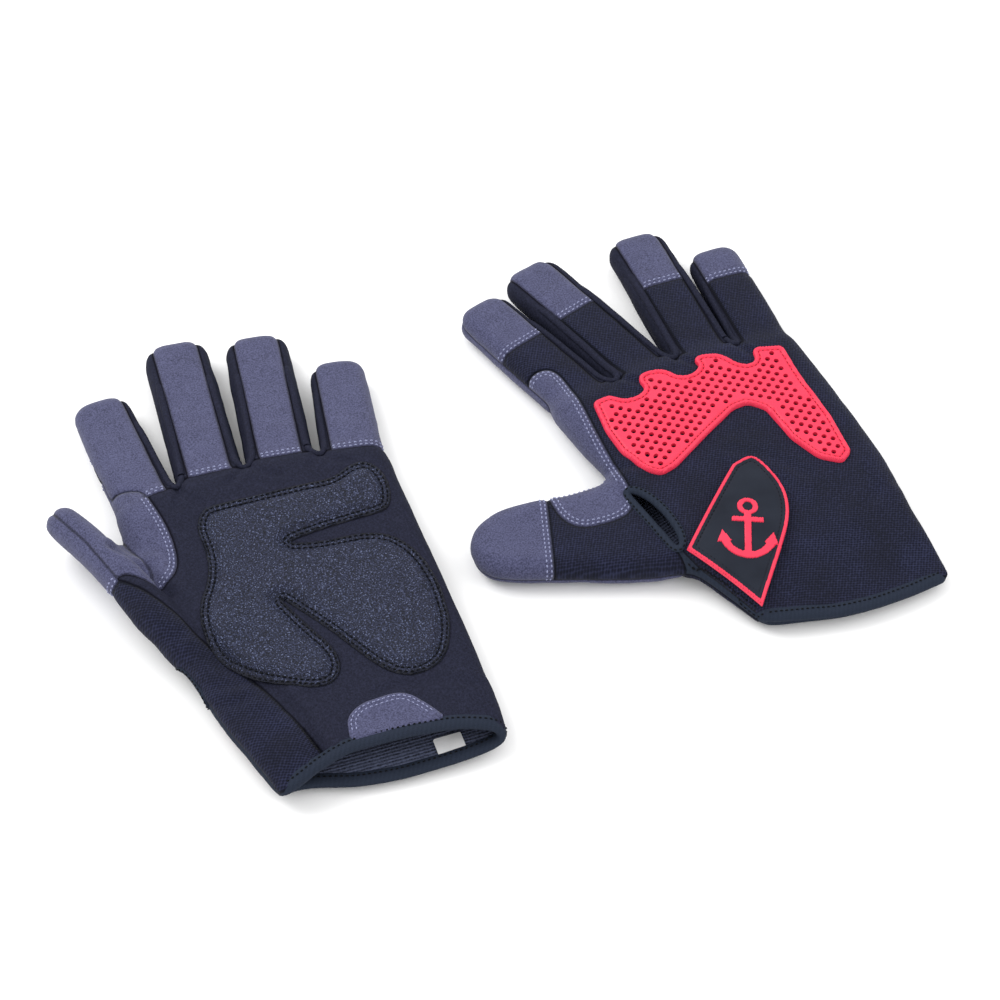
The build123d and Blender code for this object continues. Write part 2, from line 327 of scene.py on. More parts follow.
        own = (self.past_thumb_fold(x, y) > 0) & (y < 175)
        own &= self.thumb(x, y, u) < self.hand(x, y, u) + 0.5
        on_index = (nearest == 0) & (self.digit("index", x, y, u)[1] > 0)
        own &= ~(on_index & (self.finger("index", x, y, u) < 1.5))
        if self.left:
            wide, along, through, _, _ = self.left_thumb(x, y, u)
            dorsal = through > 0
            cap = along > 34 + 0.25 * wide
            pad = along > 18 + 0.06 * wide**2
            out[own] = LABEL["thumb", "palm"]
            out[own & (dorsal | (x < knit_x))] = LABEL["thumb", "back"]
            out[own & dorsal & cap] = LABEL["thumb", "cap"]
            out[own & ~dorsal & pad] = LABEL["thumb", "pad"]
        else:
            v = u - 9.2
            cap = (x + 92.5) * (66.4 - 107.6) - (y - 107.6) * (-110.5 + 92.5) > 0
            out[own] = LABEL["thumb", "back"]
            out[own & web & (v > 0)] = LABEL["thumb", "web"]
            out[own & cap] = LABEL["thumb", "cap"]
            out[own & (v < -2.0)] = LABEL["thumb", "pad"]
        return out


SLIT_RIGHT = [(-64.5, 92), (-59.5, 89), (-55.8, 81), (-53.8, 70), (-54.2, 57), (-56.8, 49.5), (-60.4, 56),
              (-63.2, 69), (-65.6, 82)]
SLIT = {"right": soften(SLIT_RIGHT), "left": soften(np.array(SLIT_RIGHT) + (-9, 2))}
STRAP_RIGHT = [(-80, 52), (-57, 52), (-57.6, 49.9), (-41.6, 6.3), (-44, 0), (-60, -6), (-80, 0)]
STRAP_AREA = {"right": np.array(STRAP_RIGHT), "left": np.array(STRAP_RIGHT) + (-7, 0)}
LABELS = [("off", "slit"), ("off", "mouth")]
LABELS += [("hand", n) for n in ("palm_panel", "back_panel", "wrist_panel", "wrist_strap", "web_patch")]
LABELS += [(d, n) for d in FINGERS for n in ("cap", "pad", "back", "sides")]
LABELS += [("index", "web")] + [("thumb", n) for n in ("cap", "pad", "back", "palm", "web")]
LABEL = {key: i for i, key in enumerate(LABELS)}


def numbered(*keys):
    return np.array([LABEL[k] for k in keys])


def grow(volume, level=0.0, low=(-143, -24, -11), high=(60, 268, 27)):
    """Vertices and triangles where the volume has this level."""
    axes = [np.arange(a, b, VOXEL) for a, b in zip(low, high)]
    x, y, u = axes[0][:, None, None], axes[1][None, :, None], axes[2][None, None, :]
    field = np.empty([len(a) for a in axes], np.float32)
    for i in range(0, len(axes[0]), 24):        # in slices, to spare memory
        field[i:i + 24] = volume(*np.broadcast_arrays(x[i:i + 24], y, u))
    grid = openvdb.FloatGrid(3.0)
    grid.copyFromArray(np.clip(field, -3, 3))
    points, quads = grid.convertToQuads(isovalue=level)
    p = np.asarray(points, float) * VOXEL + np.array(low)
    q = np.asarray(quads, int)
    one, other = (np.linalg.norm(p[q[:, k]] - p[q[:, k + 2]], axis=1) for k in (0, 1))
    short = one < other
    split = np.where(short[:, None, None], q[:, [[0, 1, 2], [0, 2, 3]]], q[:, [[0, 1, 3], [1, 2, 3]]])
    t = split.reshape(-1, 3)
    a, b, c = p[t[:, 0]], p[t[:, 1]], p[t[:, 2]]
    if np.einsum("ij,ij->i", a, np.cross(b, c)).sum() < 0:
        t = t[:, ::-1]
    return p, t


def sides_of(t):
    """The directed sides of the triangles."""
    return np.concatenate([t[:, [0, 1]], t[:, [1, 2]], t[:, [2, 0]]])


def edges_of(t):
    return np.unique(np.sort(sides_of(t), 1), axis=0)


def rim_of(t, size):
    """The sides that only one triangle has."""
    e = sides_of(t)
    return e[~np.isin(e[:, 0] * size + e[:, 1], e[:, 1] * size + e[:, 0])]


def neighbours(t):
    """Edges that two triangles share, and the two triangles' numbers."""
    e = np.sort(sides_of(t), 1)
    ids = np.tile(np.arange(len(t)), 3)
    order = np.lexsort((e[:, 1], e[:, 0]))
    e, ids = e[order], ids[order]
    pair = np.flatnonzero((e[1:] == e[:-1]).all(1))
    return e[pair], ids[pair], ids[pair + 1]


def normals_of(p, t):
    n = np.cross(p[t[:, 1]] - p[t[:, 0]], p[t[:, 2]] - p[t[:, 0]])
    out = np.zeros_like(p)
    for k in range(3):
        np.add.at(out, t[:, k], n)
    return unit(out)


def neighbour_sum(p, e):
    total = np.zeros_like(p)
    np.add.at(total, e[:, 0], p[e[:, 1]])
    np.add.at(total, e[:, 1], p[e[:, 0]])
    return total


def relax(p, t, rounds):
    """Draws each point half way to the middle of its neighbours, this many times."""
    e = edges_of(t)
    count = np.bincount(e.ravel(), minlength=len(p))[:, None]
    for _ in range(rounds):
        p = p + 0.5 * (neighbour_sum(p, e) / np.maximum(count, 1) - p)
    return p


def cut_panels(p, t, labels):
    """Moves vertices onto the panels' borders, and gives each face its label."""
    own = labels(p)
    e = edges_of(t)
    e = e[own[e[:, 0]] != own[e[:, 1]]]
    a, b, first = p[e[:, 0]].copy(), p[e[:, 1]].copy(), own[e[:, 0]]
    lo, hi = np.zeros(len(e)), np.ones(len(e))
    for _ in range(7):
        mid = (lo + hi) / 2
        same = labels(a + (b - a) * mid[:, None]) == first
        lo, hi = np.where(same, mid, lo), np.where(same, hi, mid)
    at = (lo + hi) / 2
    mover = np.where(at < 0.5, e[:, 0], e[:, 1])
    order = np.argsort(-np.minimum(at, 1 - at))
    p = p.copy()
    p[mover[order]] = (a + (b - a) * at[:, None])[order]
    face = labels(p[t].mean(1))
    for _ in range(2):
        face = without_specks(t, face)
    return p, face


def without_specks(t, face):
    """A face with two or more neighbours of one other label takes that label."""
    _, i, j = neighbours(t)
    votes = np.full((len(t), 3), -1)
    fill = np.zeros(len(t), int)
    for m, n in ((i, j), (j, i)):
        for k in np.argsort(m, kind="stable"):
            if fill[m[k]] < 3:
                votes[m[k], fill[m[k]]] = face[n[k]]
                fill[m[k]] += 1
    out = face.copy()
    for g, h in ((0, 1), (1, 2), (0, 2)):
        agree = (votes[:, g] == votes[:, h]) & (votes[:, g] >= 0) & (votes[:, g] != face)
        out[agree] = votes[agree, g]
    return out


def border_edges(t, face):
    """Edges between two labels: (edge, label one, label two)."""
    e, i, j = neighbours(t)
    i, j = face[i], face[j]
    differ = i != j
    return e[differ], i[differ], j[differ]


def chains(e):
    """Orders edges into lines of vertices."""
    near = {}
    for a, b in e.tolist():
        near.setdefault(a, []).append(b)
        near.setdefault(b, []).append(a)
    left = {tuple(sorted(x)) for x in e.tolist()}
    out = []
    starts = [v for v in near if len(near[v]) != 2] + list(near)
    for start in starts:
        for follow in near[start]:
            if (min(start, follow), max(start, follow)) not in left:
                continue
            line = [start, follow]
            left.discard((min(start, follow), max(start, follow)))
            while len(near[line[-1]]) == 2:
                onward = [v for v in near[line[-1]] if (min(v, line[-1]), max(v, line[-1])) in left]
                if not onward:
                    break
                left.discard((min(onward[0], line[-1]), max(onward[0], line[-1])))
                line.append(onward[0])
            out.append(np.array(line))
    return out


def smooth_borders(p, e, rounds=6):
    """Smooths the lines that the edges form, but for their ends and branches."""
    free = np.bincount(e.ravel(), minlength=len(p)) == 2
    for _ in range(rounds):
        total = neighbour_sum(p, e)
        p = p.copy()
        p[free] = 0.5 * p[free] + 0.5 * total[free] / 2
    return p


def thicken(p, n, t, thickness):
    """A closed shell: the faces, their copies further in, and walls round the edges."""
    used, index = np.unique(t, return_inverse=True)
    t = index.reshape(-1, 3)
    outer, inner = p[used], p[used] - n[used] * thickness
    size = len(used)
    a, b = rim_of(t, size).T
    walls = np.concatenate([np.stack([b, a, a + size], 1), np.stack([b, a + size, b + size], 1)])
    return np.concatenate([outer, inner]), np.concatenate([t, t[:, ::-1] + size, walls]), used


# ---- materials: everything is patterned in millimetres over the pieces' "pattern" attribute ----
class Cloth:
    def __init__(self, name, roughness, sheen=0.0, specular=0.35):
        self.m = bpy.data.materials.new(name)
        self.m.use_nodes = True
        self.nodes, self.link = self.m.node_tree.nodes, self.m.node_tree.links.new
        self.shader = self.nodes["Principled BSDF"]
        self.shader.inputs["Roughness"].default_value = roughness
        self.shader.inputs["Specular IOR Level"].default_value = specular
        self.shader.inputs["Sheen Weight"].default_value = sheen
        self.shader.inputs["Sheen Roughness"].default_value = 0.6
        self.at = self.nodes.new("ShaderNodeAttribute")
        self.at.attribute_name = "pattern"
        self.vector = self.at.outputs["Vector"]

    def turned(self, stretch=(1, 1, 1), turn=0.0):
        n = self.nodes.new("ShaderNodeMapping")
        n.inputs["Scale"].default_value = stretch
        n.inputs["Rotation"].default_value = (0, 0, radians(turn))
        self.link(self.vector, n.inputs["Vector"])
        return n.outputs["Vector"]

    def noise(self, scale, detail=2.0, vector=None):
        n = self.nodes.new("ShaderNodeTexNoise")
        n.inputs["Scale"].default_value = scale
        n.inputs["Detail"].default_value = detail
        self.link(vector or self.vector, n.inputs["Vector"])
        return n.outputs["Fac"]

    def cells(self, scale, randomness=1.0, vector=None):
        n = self.nodes.new("ShaderNodeTexVoronoi")
        n.inputs["Scale"].default_value = scale
        n.inputs["Randomness"].default_value = randomness
        self.link(vector or self.vector, n.inputs["Vector"])
        return n.outputs["Distance"]

    def bands(self, scale, vector=None, distortion=0.0):
        n = self.nodes.new("ShaderNodeTexWave")
        n.inputs["Scale"].default_value = scale
        n.inputs["Distortion"].default_value = distortion
        self.link(vector or self.vector, n.inputs["Vector"])
        return n.outputs["Fac"]

    def math(self, operation, a, b):
        n = self.nodes.new("ShaderNodeMath")
        n.operation = operation
        for socket, value in zip(n.inputs, (a, b)):
            if isinstance(value, (int, float)):
                socket.default_value = value
            else:
                self.link(value, socket)
        return n.outputs[0]

    def span(self, value, low, high, to=(0.0, 1.0)):
        n = self.nodes.new("ShaderNodeMapRange")
        n.interpolation_type = "SMOOTHSTEP"
        for socket, x in zip(("From Min", "From Max", "To Min", "To Max"), (low, high, *to)):
            n.inputs[socket].default_value = x
        self.link(value, n.inputs["Value"])
        return n.outputs["Result"]

    def seam(self, reach=1.3):
        """0 at a seam, 1 away from it. The cloths darken their colour with it as painted shade in the seam
        grooves.
        """
        n = self.nodes.new("ShaderNodeAttribute")
        n.attribute_name = "seam"
        return self.span(n.outputs["Fac"], 0.0, reach)

    def colour(self, value, *stops):
        n = self.nodes.new("ShaderNodeValToRGB")
        ramp = n.color_ramp
        while len(ramp.elements) < len(stops):
            ramp.elements.new(0.5)
        for element, (position, rgb) in zip(ramp.elements, stops):
            element.position, element.color = position, (*rgb, 1)
        self.link(value, n.inputs["Fac"])
        self.link(n.outputs["Color"], self.shader.inputs["Base Color"])

    def rough(self, value, low, high):
        self.link(self.span(value, 0.2, 0.8, (low, high)), self.shader.inputs["Roughness"])

    def bump(self, height, depth):
        """A height of 0 to 1 stands for this many millimetres."""
        n = self.nodes.new("ShaderNodeBump")
        n.inputs["Strength"].default_value = 1.0
        n.inputs["Distance"].default_value = depth / 1000
        self.link(height, n.inputs["Height"])
        self.link(n.outputs["Normal"], self.shader.inputs["Normal"])


def suede():
    c = Cloth("suede_grey", 0.95, sheen=0.10, specular=0.10)
    nap = c.noise(1.5, 3.0)
    mottle = c.noise(0.12, 3.0)
    mixed = c.math("ADD", c.math("MULTIPLY", nap, 0.88), c.math("MULTIPLY", mottle, 0.12))
    edge = c.seam(1.1)
    # Towards a seam the colour falls to 0.55 of itself: painted shade in the seam groove.
    c.colour(c.math("MULTIPLY", mixed, c.span(edge, 0, 1, (0.55, 1.0))),
             (0.22, (0.012, 0.013, 0.027)), (0.43, (0.043, 0.045, 0.091)), (0.64, (0.080, 0.084, 0.158)))
    c.rough(nap, 0.88, 1.0)
    c.bump(c.math("ADD", c.math("MULTIPLY", nap, 0.5), edge), 0.30)
    return c.m


def knit():
    c = Cloth("mesh_black", 0.85, sheen=0.02, specular=0.12)
    loops = c.cells(0.72, 0.25, c.turned((1.0, 1.35, 0.0), 28))
    broad = c.noise(0.06, 2.0)
    edge = c.seam()
    shade = c.math("ADD", c.math("MULTIPLY", loops, 0.8), c.math("MULTIPLY", broad, 0.35))
    # The colour falls to black at a seam: painted shade in the seam groove.
    c.colour(c.math("MULTIPLY", shade, edge),
             (0.14, (0.002, 0.003, 0.008)), (0.48, (0.006, 0.007, 0.018)), (0.85, (0.026, 0.030, 0.068)))
    c.rough(broad, 0.75, 0.95)
    c.bump(c.math("ADD", c.math("MULTIPLY", loops, 1.1), edge), 0.45)
    return c.m


def leather():
    c = Cloth("leather_black", 0.85, sheen=0.0, specular=0.08)
    grain = c.noise(1.8, 5.0)
    pores = c.cells(0.9, 1.0)
    edge = c.seam()
    shade = c.math("ADD", c.math("MULTIPLY", grain, 0.7), c.math("MULTIPLY", pores, 0.2))
    # The colour falls to black at a seam: painted shade in the seam groove.
    c.colour(c.math("MULTIPLY", shade, edge),
             (0.12, (0.003, 0.003, 0.007)), (0.40, (0.011, 0.012, 0.023)), (0.70, (0.023, 0.025, 0.048)))
    c.rough(grain, 0.70, 0.92)
    c.bump(c.math("ADD", c.math("MULTIPLY", shade, 0.45), edge), 0.30)
    return c.m


def grip():
    c = Cloth("grip", 0.7, sheen=0.0, specular=0.25)
    grit = c.cells(1.15, 1.0)
    sparks = c.noise(1.6, 3.0)
    edge = c.seam(1.0)
    shade = c.math("ADD", c.math("MULTIPLY", sparks, 0.8), c.math("MULTIPLY", grit, -0.25))
    # The colour falls to black along the outline and the quilting lines: painted shade in their grooves.
    c.colour(c.math("MULTIPLY", shade, edge),
             (0.14, (0.003, 0.004, 0.010)), (0.28, (0.009, 0.012, 0.031)), (0.37, (0.023, 0.029, 0.068)),
             (0.46, (0.120, 0.145, 0.245)))
    c.rough(sparks, 0.75, 0.45)
    c.bump(c.math("ADD", c.math("MULTIPLY", shade, 1.6), edge), 0.55)
    return c.m


def moulded(name, dark, mid, light, roughness=0.5, specular=0.3):
    c = Cloth(name, roughness, specular=specular)
    fine, broad = c.noise(2.5, 3.0), c.noise(0.08, 2.0)
    shade = c.math("ADD", c.math("MULTIPLY", fine, 0.35), c.math("MULTIPLY", broad, 0.65))
    c.colour(shade, (0.25, dark), (0.5, mid), (0.75, light))
    c.rough(fine, roughness - 0.08, roughness + 0.08)
    c.bump(fine, 0.05)
    return c.m


def tape(name, dark, light):
    c = Cloth(name, 0.8, sheen=0.0, specular=0.10)
    ribs = c.bands(1 / 0.9 / 6.28, c.turned((1.0, 1.0, 0.6), 30), 2.0)
    fuzz = c.noise(2.4, 3.0)
    shade = c.math("ADD", c.math("MULTIPLY", ribs, 0.12), c.math("MULTIPLY", fuzz, 0.88))
    c.colour(shade, (0.2, dark), (0.8, light))
    c.rough(fuzz, 0.7, 0.9)
    c.bump(fuzz, 0.10)
    return c.m


def ribbed_lining():
    c = Cloth("lining", 0.95, sheen=0.05, specular=0.1)
    ribs = c.bands(0.20, c.turned((0.05, 1.0, 0.0), 90), 0.4)
    loops = c.cells(0.9, 0.6)
    shade = c.math("ADD", c.math("MULTIPLY", ribs, 0.42), c.math("MULTIPLY", loops, 0.60))
    c.colour(shade, (0.15, (0.007, 0.009, 0.018)), (0.85, (0.100, 0.116, 0.190)))
    c.bump(shade, 0.5)
    return c.m


def fuzzy(name, scale, dark, light):
    c = Cloth(name, 0.95, sheen=0.05, specular=0.05)
    loops = c.cells(scale, 0.8)
    curl = c.noise(scale * 2, 4.0)
    shade = c.math("ADD", c.math("MULTIPLY", loops, 0.6), c.math("MULTIPLY", curl, 0.4))
    c.colour(shade, (0.2, dark), (0.7, light))
    c.bump(shade, 0.6)
    return c.m


def thread(name, dark, light):
    c = Cloth(name, 0.8, sheen=0.02, specular=0.1)
    twist = c.bands(0.45, c.turned((1.0, 1.0, 1.0), 35), 0.5)
    c.colour(twist, (0.0, dark), (1.0, light))
    c.bump(twist, 0.06)
    return c.m


def woven_label():
    c = Cloth("label", 0.85, specular=0.2)
    weave = c.cells(2.2, 0.1)
    c.colour(weave, (0.0, (0.90, 0.90, 0.90)), (0.7, (0.74, 0.74, 0.75)))
    c.bump(weave, 0.08)
    return c.m


MATERIALS = {
    "suede": suede(), "knit": knit(), "leather": leather(), "grip": grip(),
    "red": moulded("tpr_red", (0.66, 0.024, 0.062), (0.72, 0.030, 0.074), (0.77, 0.038, 0.088), 0.5),
    "rubber": moulded("rubber_dark", (0.008, 0.010, 0.017), (0.012, 0.015, 0.024), (0.016, 0.020, 0.031),
                      0.6, 0.12),
    "binding": tape("binding", (0.010, 0.014, 0.024), (0.022, 0.029, 0.048)),
    "lining": ribbed_lining(),
    "loop": fuzzy("loop_pad", 0.9, (0.004, 0.004, 0.006), (0.022, 0.023, 0.032)),
    "hook": fuzzy("hook_pad", 1.2, (0.003, 0.003, 0.004), (0.016, 0.016, 0.020)),
    "label": woven_label(),
    "pale_thread": thread("thread_pale", (0.17, 0.18, 0.30), (0.30, 0.32, 0.48)),
    "dark_thread": thread("thread_dark", (0.0015, 0.002, 0.003), (0.004, 0.005, 0.008)),
    "red_thread": thread("thread_red", (0.20, 0.004, 0.012), (0.32, 0.010, 0.026)),
}


def piece(name, side, p, t, look, body, nodes=(), seam=None, sharp=50):
    """A mesh from points of the pattern frame, on the hand's body if it is a piece of the hand."""
    faces = (t[:, ::-1] if side == "left" else t).astype(np.int32)
    mesh = bpy.data.meshes.new(f"{side}.{name}")
    mesh.vertices.add(len(p))
    mesh.vertices.foreach_set("co", pattern_to_row(side, p).astype(np.float32).ravel())
    mesh.loops.add(faces.size)
    mesh.loops.foreach_set("vertex_index", faces.ravel())
    mesh.polygons.add(len(faces))
    mesh.polygons.foreach_set("loop_start", np.arange(0, faces.size, 3, dtype=np.int32))
    mesh.polygons.foreach_set("use_smooth", np.ones(len(faces), bool))
    mesh.update(calc_edges=True)
    mesh.validate()
    mesh.set_sharp_from_angle(angle=radians(sharp))
    pattern = mesh.attributes.new("pattern", "FLOAT_VECTOR", "POINT")
    pattern.data.foreach_set("vector", p.astype(np.float32).ravel())
    seam = np.full(len(p), FAR) if seam is None else seam
    mesh.attributes.new("seam", "FLOAT", "POINT").data.foreach_set("value", seam.astype(np.float32))
    mesh.materials.append(MATERIALS[look])
    obj = bpy.data.objects.new(f"{side}.{name}", mesh)
    bpy.context.scene.collection.objects.link(obj)
    if body == "hand":
        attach(obj, f"{side}_hand")
    else:
        start, heading, reach = bend_of(side, body)
        ends = [pattern_to_row(side, (*(start + heading * d), 10.0)) for d in (0, reach)]
        tuple(ends[0])
        tuple(ends[1])
        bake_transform(obj)
    if nodes:
        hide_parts(*[f"{side}_{n}" for n in nodes])
    return obj


def bend_of(side, body):
    """Where a digit or tab leaves the hand, which way it goes, and how far its bend reaches (mm)."""
    if body in DIGITS[side]:
        at, turn = DIGITS[side][body][:2]
        return np.array(at), np.array((-sin(radians(turn)), cos(radians(turn)))), DIGIT_BEND
    a, b = (np.array(q) for q in (THUMB_FOLD[side] if body == "thumb" else TAB[side][:2]))
    along = (b - a) / np.linalg.norm(b - a)
    away = np.array((-along[1], along[0]))
    return (a + b) / 2, away, DIGIT_BEND if body == "thumb" else TAB_BEND


def line_frames(p, n):
    """Which way a line runs, and which way is sideways on its surface."""
    t = unit(np.gradient(p, axis=0))
    return t, unit(np.cross(n, t))


def spaced(p, step, closed=False):
    """The line with points this far apart; extra columns are carried along."""
    q = np.concatenate([p, p[:1]]) if closed else p
    s = np.concatenate([[0], np.cumsum(np.linalg.norm(np.diff(q[:, :3], axis=0), axis=1))])
    count = max(int(s[-1] / step), 2)
    at = np.linspace(0, s[-1], count + 1)
    at = at[:-1] if closed else at
    return np.stack([np.interp(at, s, q[:, k]) for k in range(q.shape[1])], 1)


def stitches(lines, pitch=2.3, length=1.5, radius=0.36):
    """Threads lying on lines of points and normals, each diving under at its ends."""
    runs = []
    for p, n in lines:
        s = np.concatenate([[0], np.cumsum(np.linalg.norm(np.diff(p, axis=0), axis=1))])
        count = int(s[-1] / pitch)
        if count < 1:
            continue
        start = (np.arange(count) + 0.5) * (s[-1] / count) - length / 2
        at = start[:, None] + length * np.array([0, 0.3, 0.7, 1.0])
        q = np.stack([np.interp(at, s, p[:, k]) for k in range(3)], -1)
        m = np.stack([np.interp(at, s, n[:, k]) for k in range(3)], -1)
        runs.append((q, unit(m)))
    q, m = (np.concatenate([r[k] for r in runs]) for k in (0, 1))
    side = np.cross(unit(np.gradient(q, axis=1)), m)
    q = q + m * (np.array([-0.30, 0.10, 0.10, -0.30]) * radius / 0.36)[None, :, None]
    turn = np.arange(6) / 6 * 2 * np.pi
    size = (np.array([0.5, 1, 1, 0.5]) * radius)[None, :, None, None]
    rings = q[:, :, None] + size * (side[:, :, None] * np.cos(turn)[None, None, :, None]
                                    + m[:, :, None] * np.sin(turn)[None, None, :, None])
    base = np.arange(len(q))[:, None, None] * 24
    k, j = np.arange(6)[None, None, :], np.arange(3)[None, :, None] * 6
    a, b = base + j + k, base + j + (k + 1) % 6
    t = np.stack([np.stack([a, b, b + 6], -1), np.stack([a, b + 6, a + 6], -1)]).reshape(-1, 3)
    fan = np.array([(0, i + 1, i) for i in range(1, 5)])
    ends = np.concatenate([fan, fan[:, ::-1] + 18])
    t = np.concatenate([t, (base + ends[None]).reshape(-1, 3)])
    p = rings.reshape(-1, 3)
    ring_normal = np.einsum("ij,ij->i", np.cross(p[t[:, 1]] - p[t[:, 0]], p[t[:, 2]] - p[t[:, 0]]),
                            p[t].mean(1) - q.mean(1)[t[:, 0] // 24])
    return p, t if ring_normal.sum() > 0 else t[:, ::-1]


def sweep(p, outward, inward, section, closed=True):
    """A section of (outward, inward) distances carried along a line."""
    sec = np.asarray(section, float)
    rings = p[:, None] + outward[:, None] * sec[None, :, :1] + inward[:, None] * sec[None, :, 1:2]
    n, m = len(p), len(sec)
    i = np.arange(n if closed else n - 1)[:, None]
    j = np.arange(m)[None, :]
    a, b = i * m + j, i * m + (j + 1) % m
    c, d = ((i + 1) % n) * m + (j + 1) % m, ((i + 1) % n) * m + j
    t = np.concatenate([np.stack([a, b, c], -1), np.stack([a, c, d], -1)]).reshape(-1, 3)
    if not closed:
        fan = np.array([(0, k + 1, k) for k in range(1, m - 1)])
        t = np.concatenate([t, fan, fan[:, ::-1] + (n - 1) * m])
    q = rings.reshape(-1, 3)
    volume = np.einsum("ij,ij->i", q[t[:, 0]], np.cross(q[t[:, 1]], q[t[:, 2]])).sum()
    return q, t if volume > 0 else t[:, ::-1]


def tree_of(p, t):
    return BVHTree.FromPolygons(p.tolist(), t.tolist())


def cast(tree, xy, up, start=60.0):
    """Points and normals where rays along u meet a surface. up is 1 for the back and -1 for the palm."""
    points, normals = np.zeros((len(xy), 3)), np.zeros((len(xy), 3))
    for i, (x, y) in enumerate(np.asarray(xy, float).tolist()):
        hit, normal, _, _ = tree.ray_cast(Vector((x, y, up * start)), Vector((0, 0, -up)))
        if hit is None:
            hit, normal, _, _ = tree.find_nearest(Vector((x, y, 10.0 + up * 6)))
        points[i], normals[i] = hit, normal
    return points, normals


def smooth_bed(tree, xy, up, start=60.0):
    """A gently curved surface near the points where rays meet the skin, as the terms of its height."""
    p, _ = cast(tree, xy, up, start)
    return np.linalg.lstsq(bed_terms(xy[:, 0], xy[:, 1]), p[:, 2], rcond=None)[0]


def bed_terms(x, y):
    return np.stack([np.ones_like(x), x / 50, y / 50, (x / 50) ** 2, x * y / 2500, (y / 50) ** 2], -1)


def slab(tree, gap, low, high, spacing, up, top, lift=0.0, sink=0.6, bed=None):
    """A sheet cut where gap(x, y) is negative and laid on a surface; top(x, y) is its height above that."""
    xs, ys = np.arange(low[0], high[0], spacing), np.arange(low[1], high[1], spacing)
    grid = np.stack(np.meshgrid(xs, ys, indexing="ij"), -1).reshape(-1, 2)
    k = np.arange(len(grid)).reshape(len(xs), len(ys))
    a, b, c, d = k[:-1, :-1], k[1:, :-1], k[1:, 1:], k[:-1, 1:]
    t = np.concatenate([np.stack([a, b, c], -1).reshape(-1, 3), np.stack([a, c, d], -1).reshape(-1, 3)])
    flat = np.concatenate([grid, np.zeros((len(grid), 1))], 1)
    flat, face = cut_panels(flat, t, lambda q: (gap(q[:, 0], q[:, 1]) > 0).astype(int))
    used, index = np.unique(t[face == 0], return_inverse=True)
    flat, t = flat[used], index.reshape(-1, 3)
    if bed is None:
        base, _ = cast(tree, flat[:, :2], up)
        base[:, 2] = relax(base[:, [2, 2, 2]], t, 8)[:, 0]
    else:
        base = np.concatenate([flat[:, :2], (bed_terms(flat[:, 0], flat[:, 1]) @ bed)[:, None]], 1)
    if up < 0:
        t = t[:, ::-1]
    n = unit(relax(normals_of(base, t), t, 4))
    height = top(flat[:, 0], flat[:, 1])
    closed, faces, _ = thicken(base + n * (lift + height)[:, None], n, t, 1.0)
    closed[len(base):] = base + n * (lift - sink)
    return closed, faces


def distance_to_line(x, y, points):
    best = np.full(np.shape(x), 1e9)
    for (ax, ay), (bx, by) in zip(points[:-1], points[1:]):
        dx, dy = bx - ax, by - ay
        t = np.clip(((x - ax) * dx + (y - ay) * dy) / (dx * dx + dy * dy + 1e-9), 0, 1)
        best = np.minimum(best, np.hypot(x - ax - t * dx, y - ay - t * dy))
    return best


# ---- the trims' outlines, drawn on the glove that shows them ----
GUARD_ON_RIGHT = [
    (-51, 140.5), (-42.5, 140.5), (-37.5, 135), (-31, 134), (-26.5, 136), (-26.5, 139), (-25.5, 144),
    (-22.5, 145), (-15.5, 144), (-11.5, 140.5), (-10, 136.5), (-6, 134), (-1, 134.5), (2.5, 137),
    (2, 141.5), (5, 142.5), (13, 139.5), (16, 135.5), (18, 130.5), (22.5, 127), (27, 128.5), (28.5, 134),
    (31.5, 134.5), (42, 130), (40, 110), (39, 84), (36, 62), (29, 58), (21, 65), (16, 80), (15, 100),
    (10, 107), (2, 107), (-19, 98), (-37, 90), (-45, 89), (-50, 94), (-54, 109), (-54, 123)]
GRIP_ON_LEFT = [
    (-47, 138), (-43, 146), (-38, 148), (6, 147), (18, 147), (25, 151), (33, 152), (38, 146), (40, 136),
    (37, 125), (32, 122), (11, 121), (-14, 118), (1, 114), (23, 113), (34, 107), (41, 95), (44, 77),
    (42, 55), (35, 39), (25, 33), (14, 34), (6, 42), (-8, 67), (-24, 92), (-16, 72), (-9, 58), (-8, 48),
    (-12, 41), (-19, 39), (-32, 44), (-46, 54), (-56, 67), (-59, 80), (-57, 95), (-48, 112), (-46, 125)]
TAB_ON_RIGHT = [(-56, 48), (-40.7, 11), (-18, 32), (-8, 43), (-3, 54), (-2.5, 65), (-4, 76), (-7, 79),
                (-16, 77.5)]        # its first two corners are the ends of its fold
PULL_ON_LEFT = [(-16, 9), (-14, 21), (-7, 26), (8, 27), (14, 25), (20, 17), (25, 8)]


def carried(points, step=(0, 0), turn=0.0):
    """Turned about (0, 100), then moved."""
    c, s = cos(radians(turn)), sin(radians(turn))
    p = np.array(points, float) - (0, 100)
    return np.stack([p[:, 0] * c - p[:, 1] * s, p[:, 0] * s + p[:, 1] * c], 1) + (0, 100) + step


GUARD = {"right": carried(GUARD_ON_RIGHT), "left": carried(GUARD_ON_RIGHT, (-7, 14), 4)}
GRIP = {"left": carried(GRIP_ON_LEFT), "right": carried(GRIP_ON_LEFT, (4, -11), -4)}
TAB = {"right": carried(TAB_ON_RIGHT), "left": carried(TAB_ON_RIGHT, (-7, 0))}
PULL = {"left": carried(PULL_ON_LEFT), "right": carried(PULL_ON_LEFT, (8, -6.3), -4)}

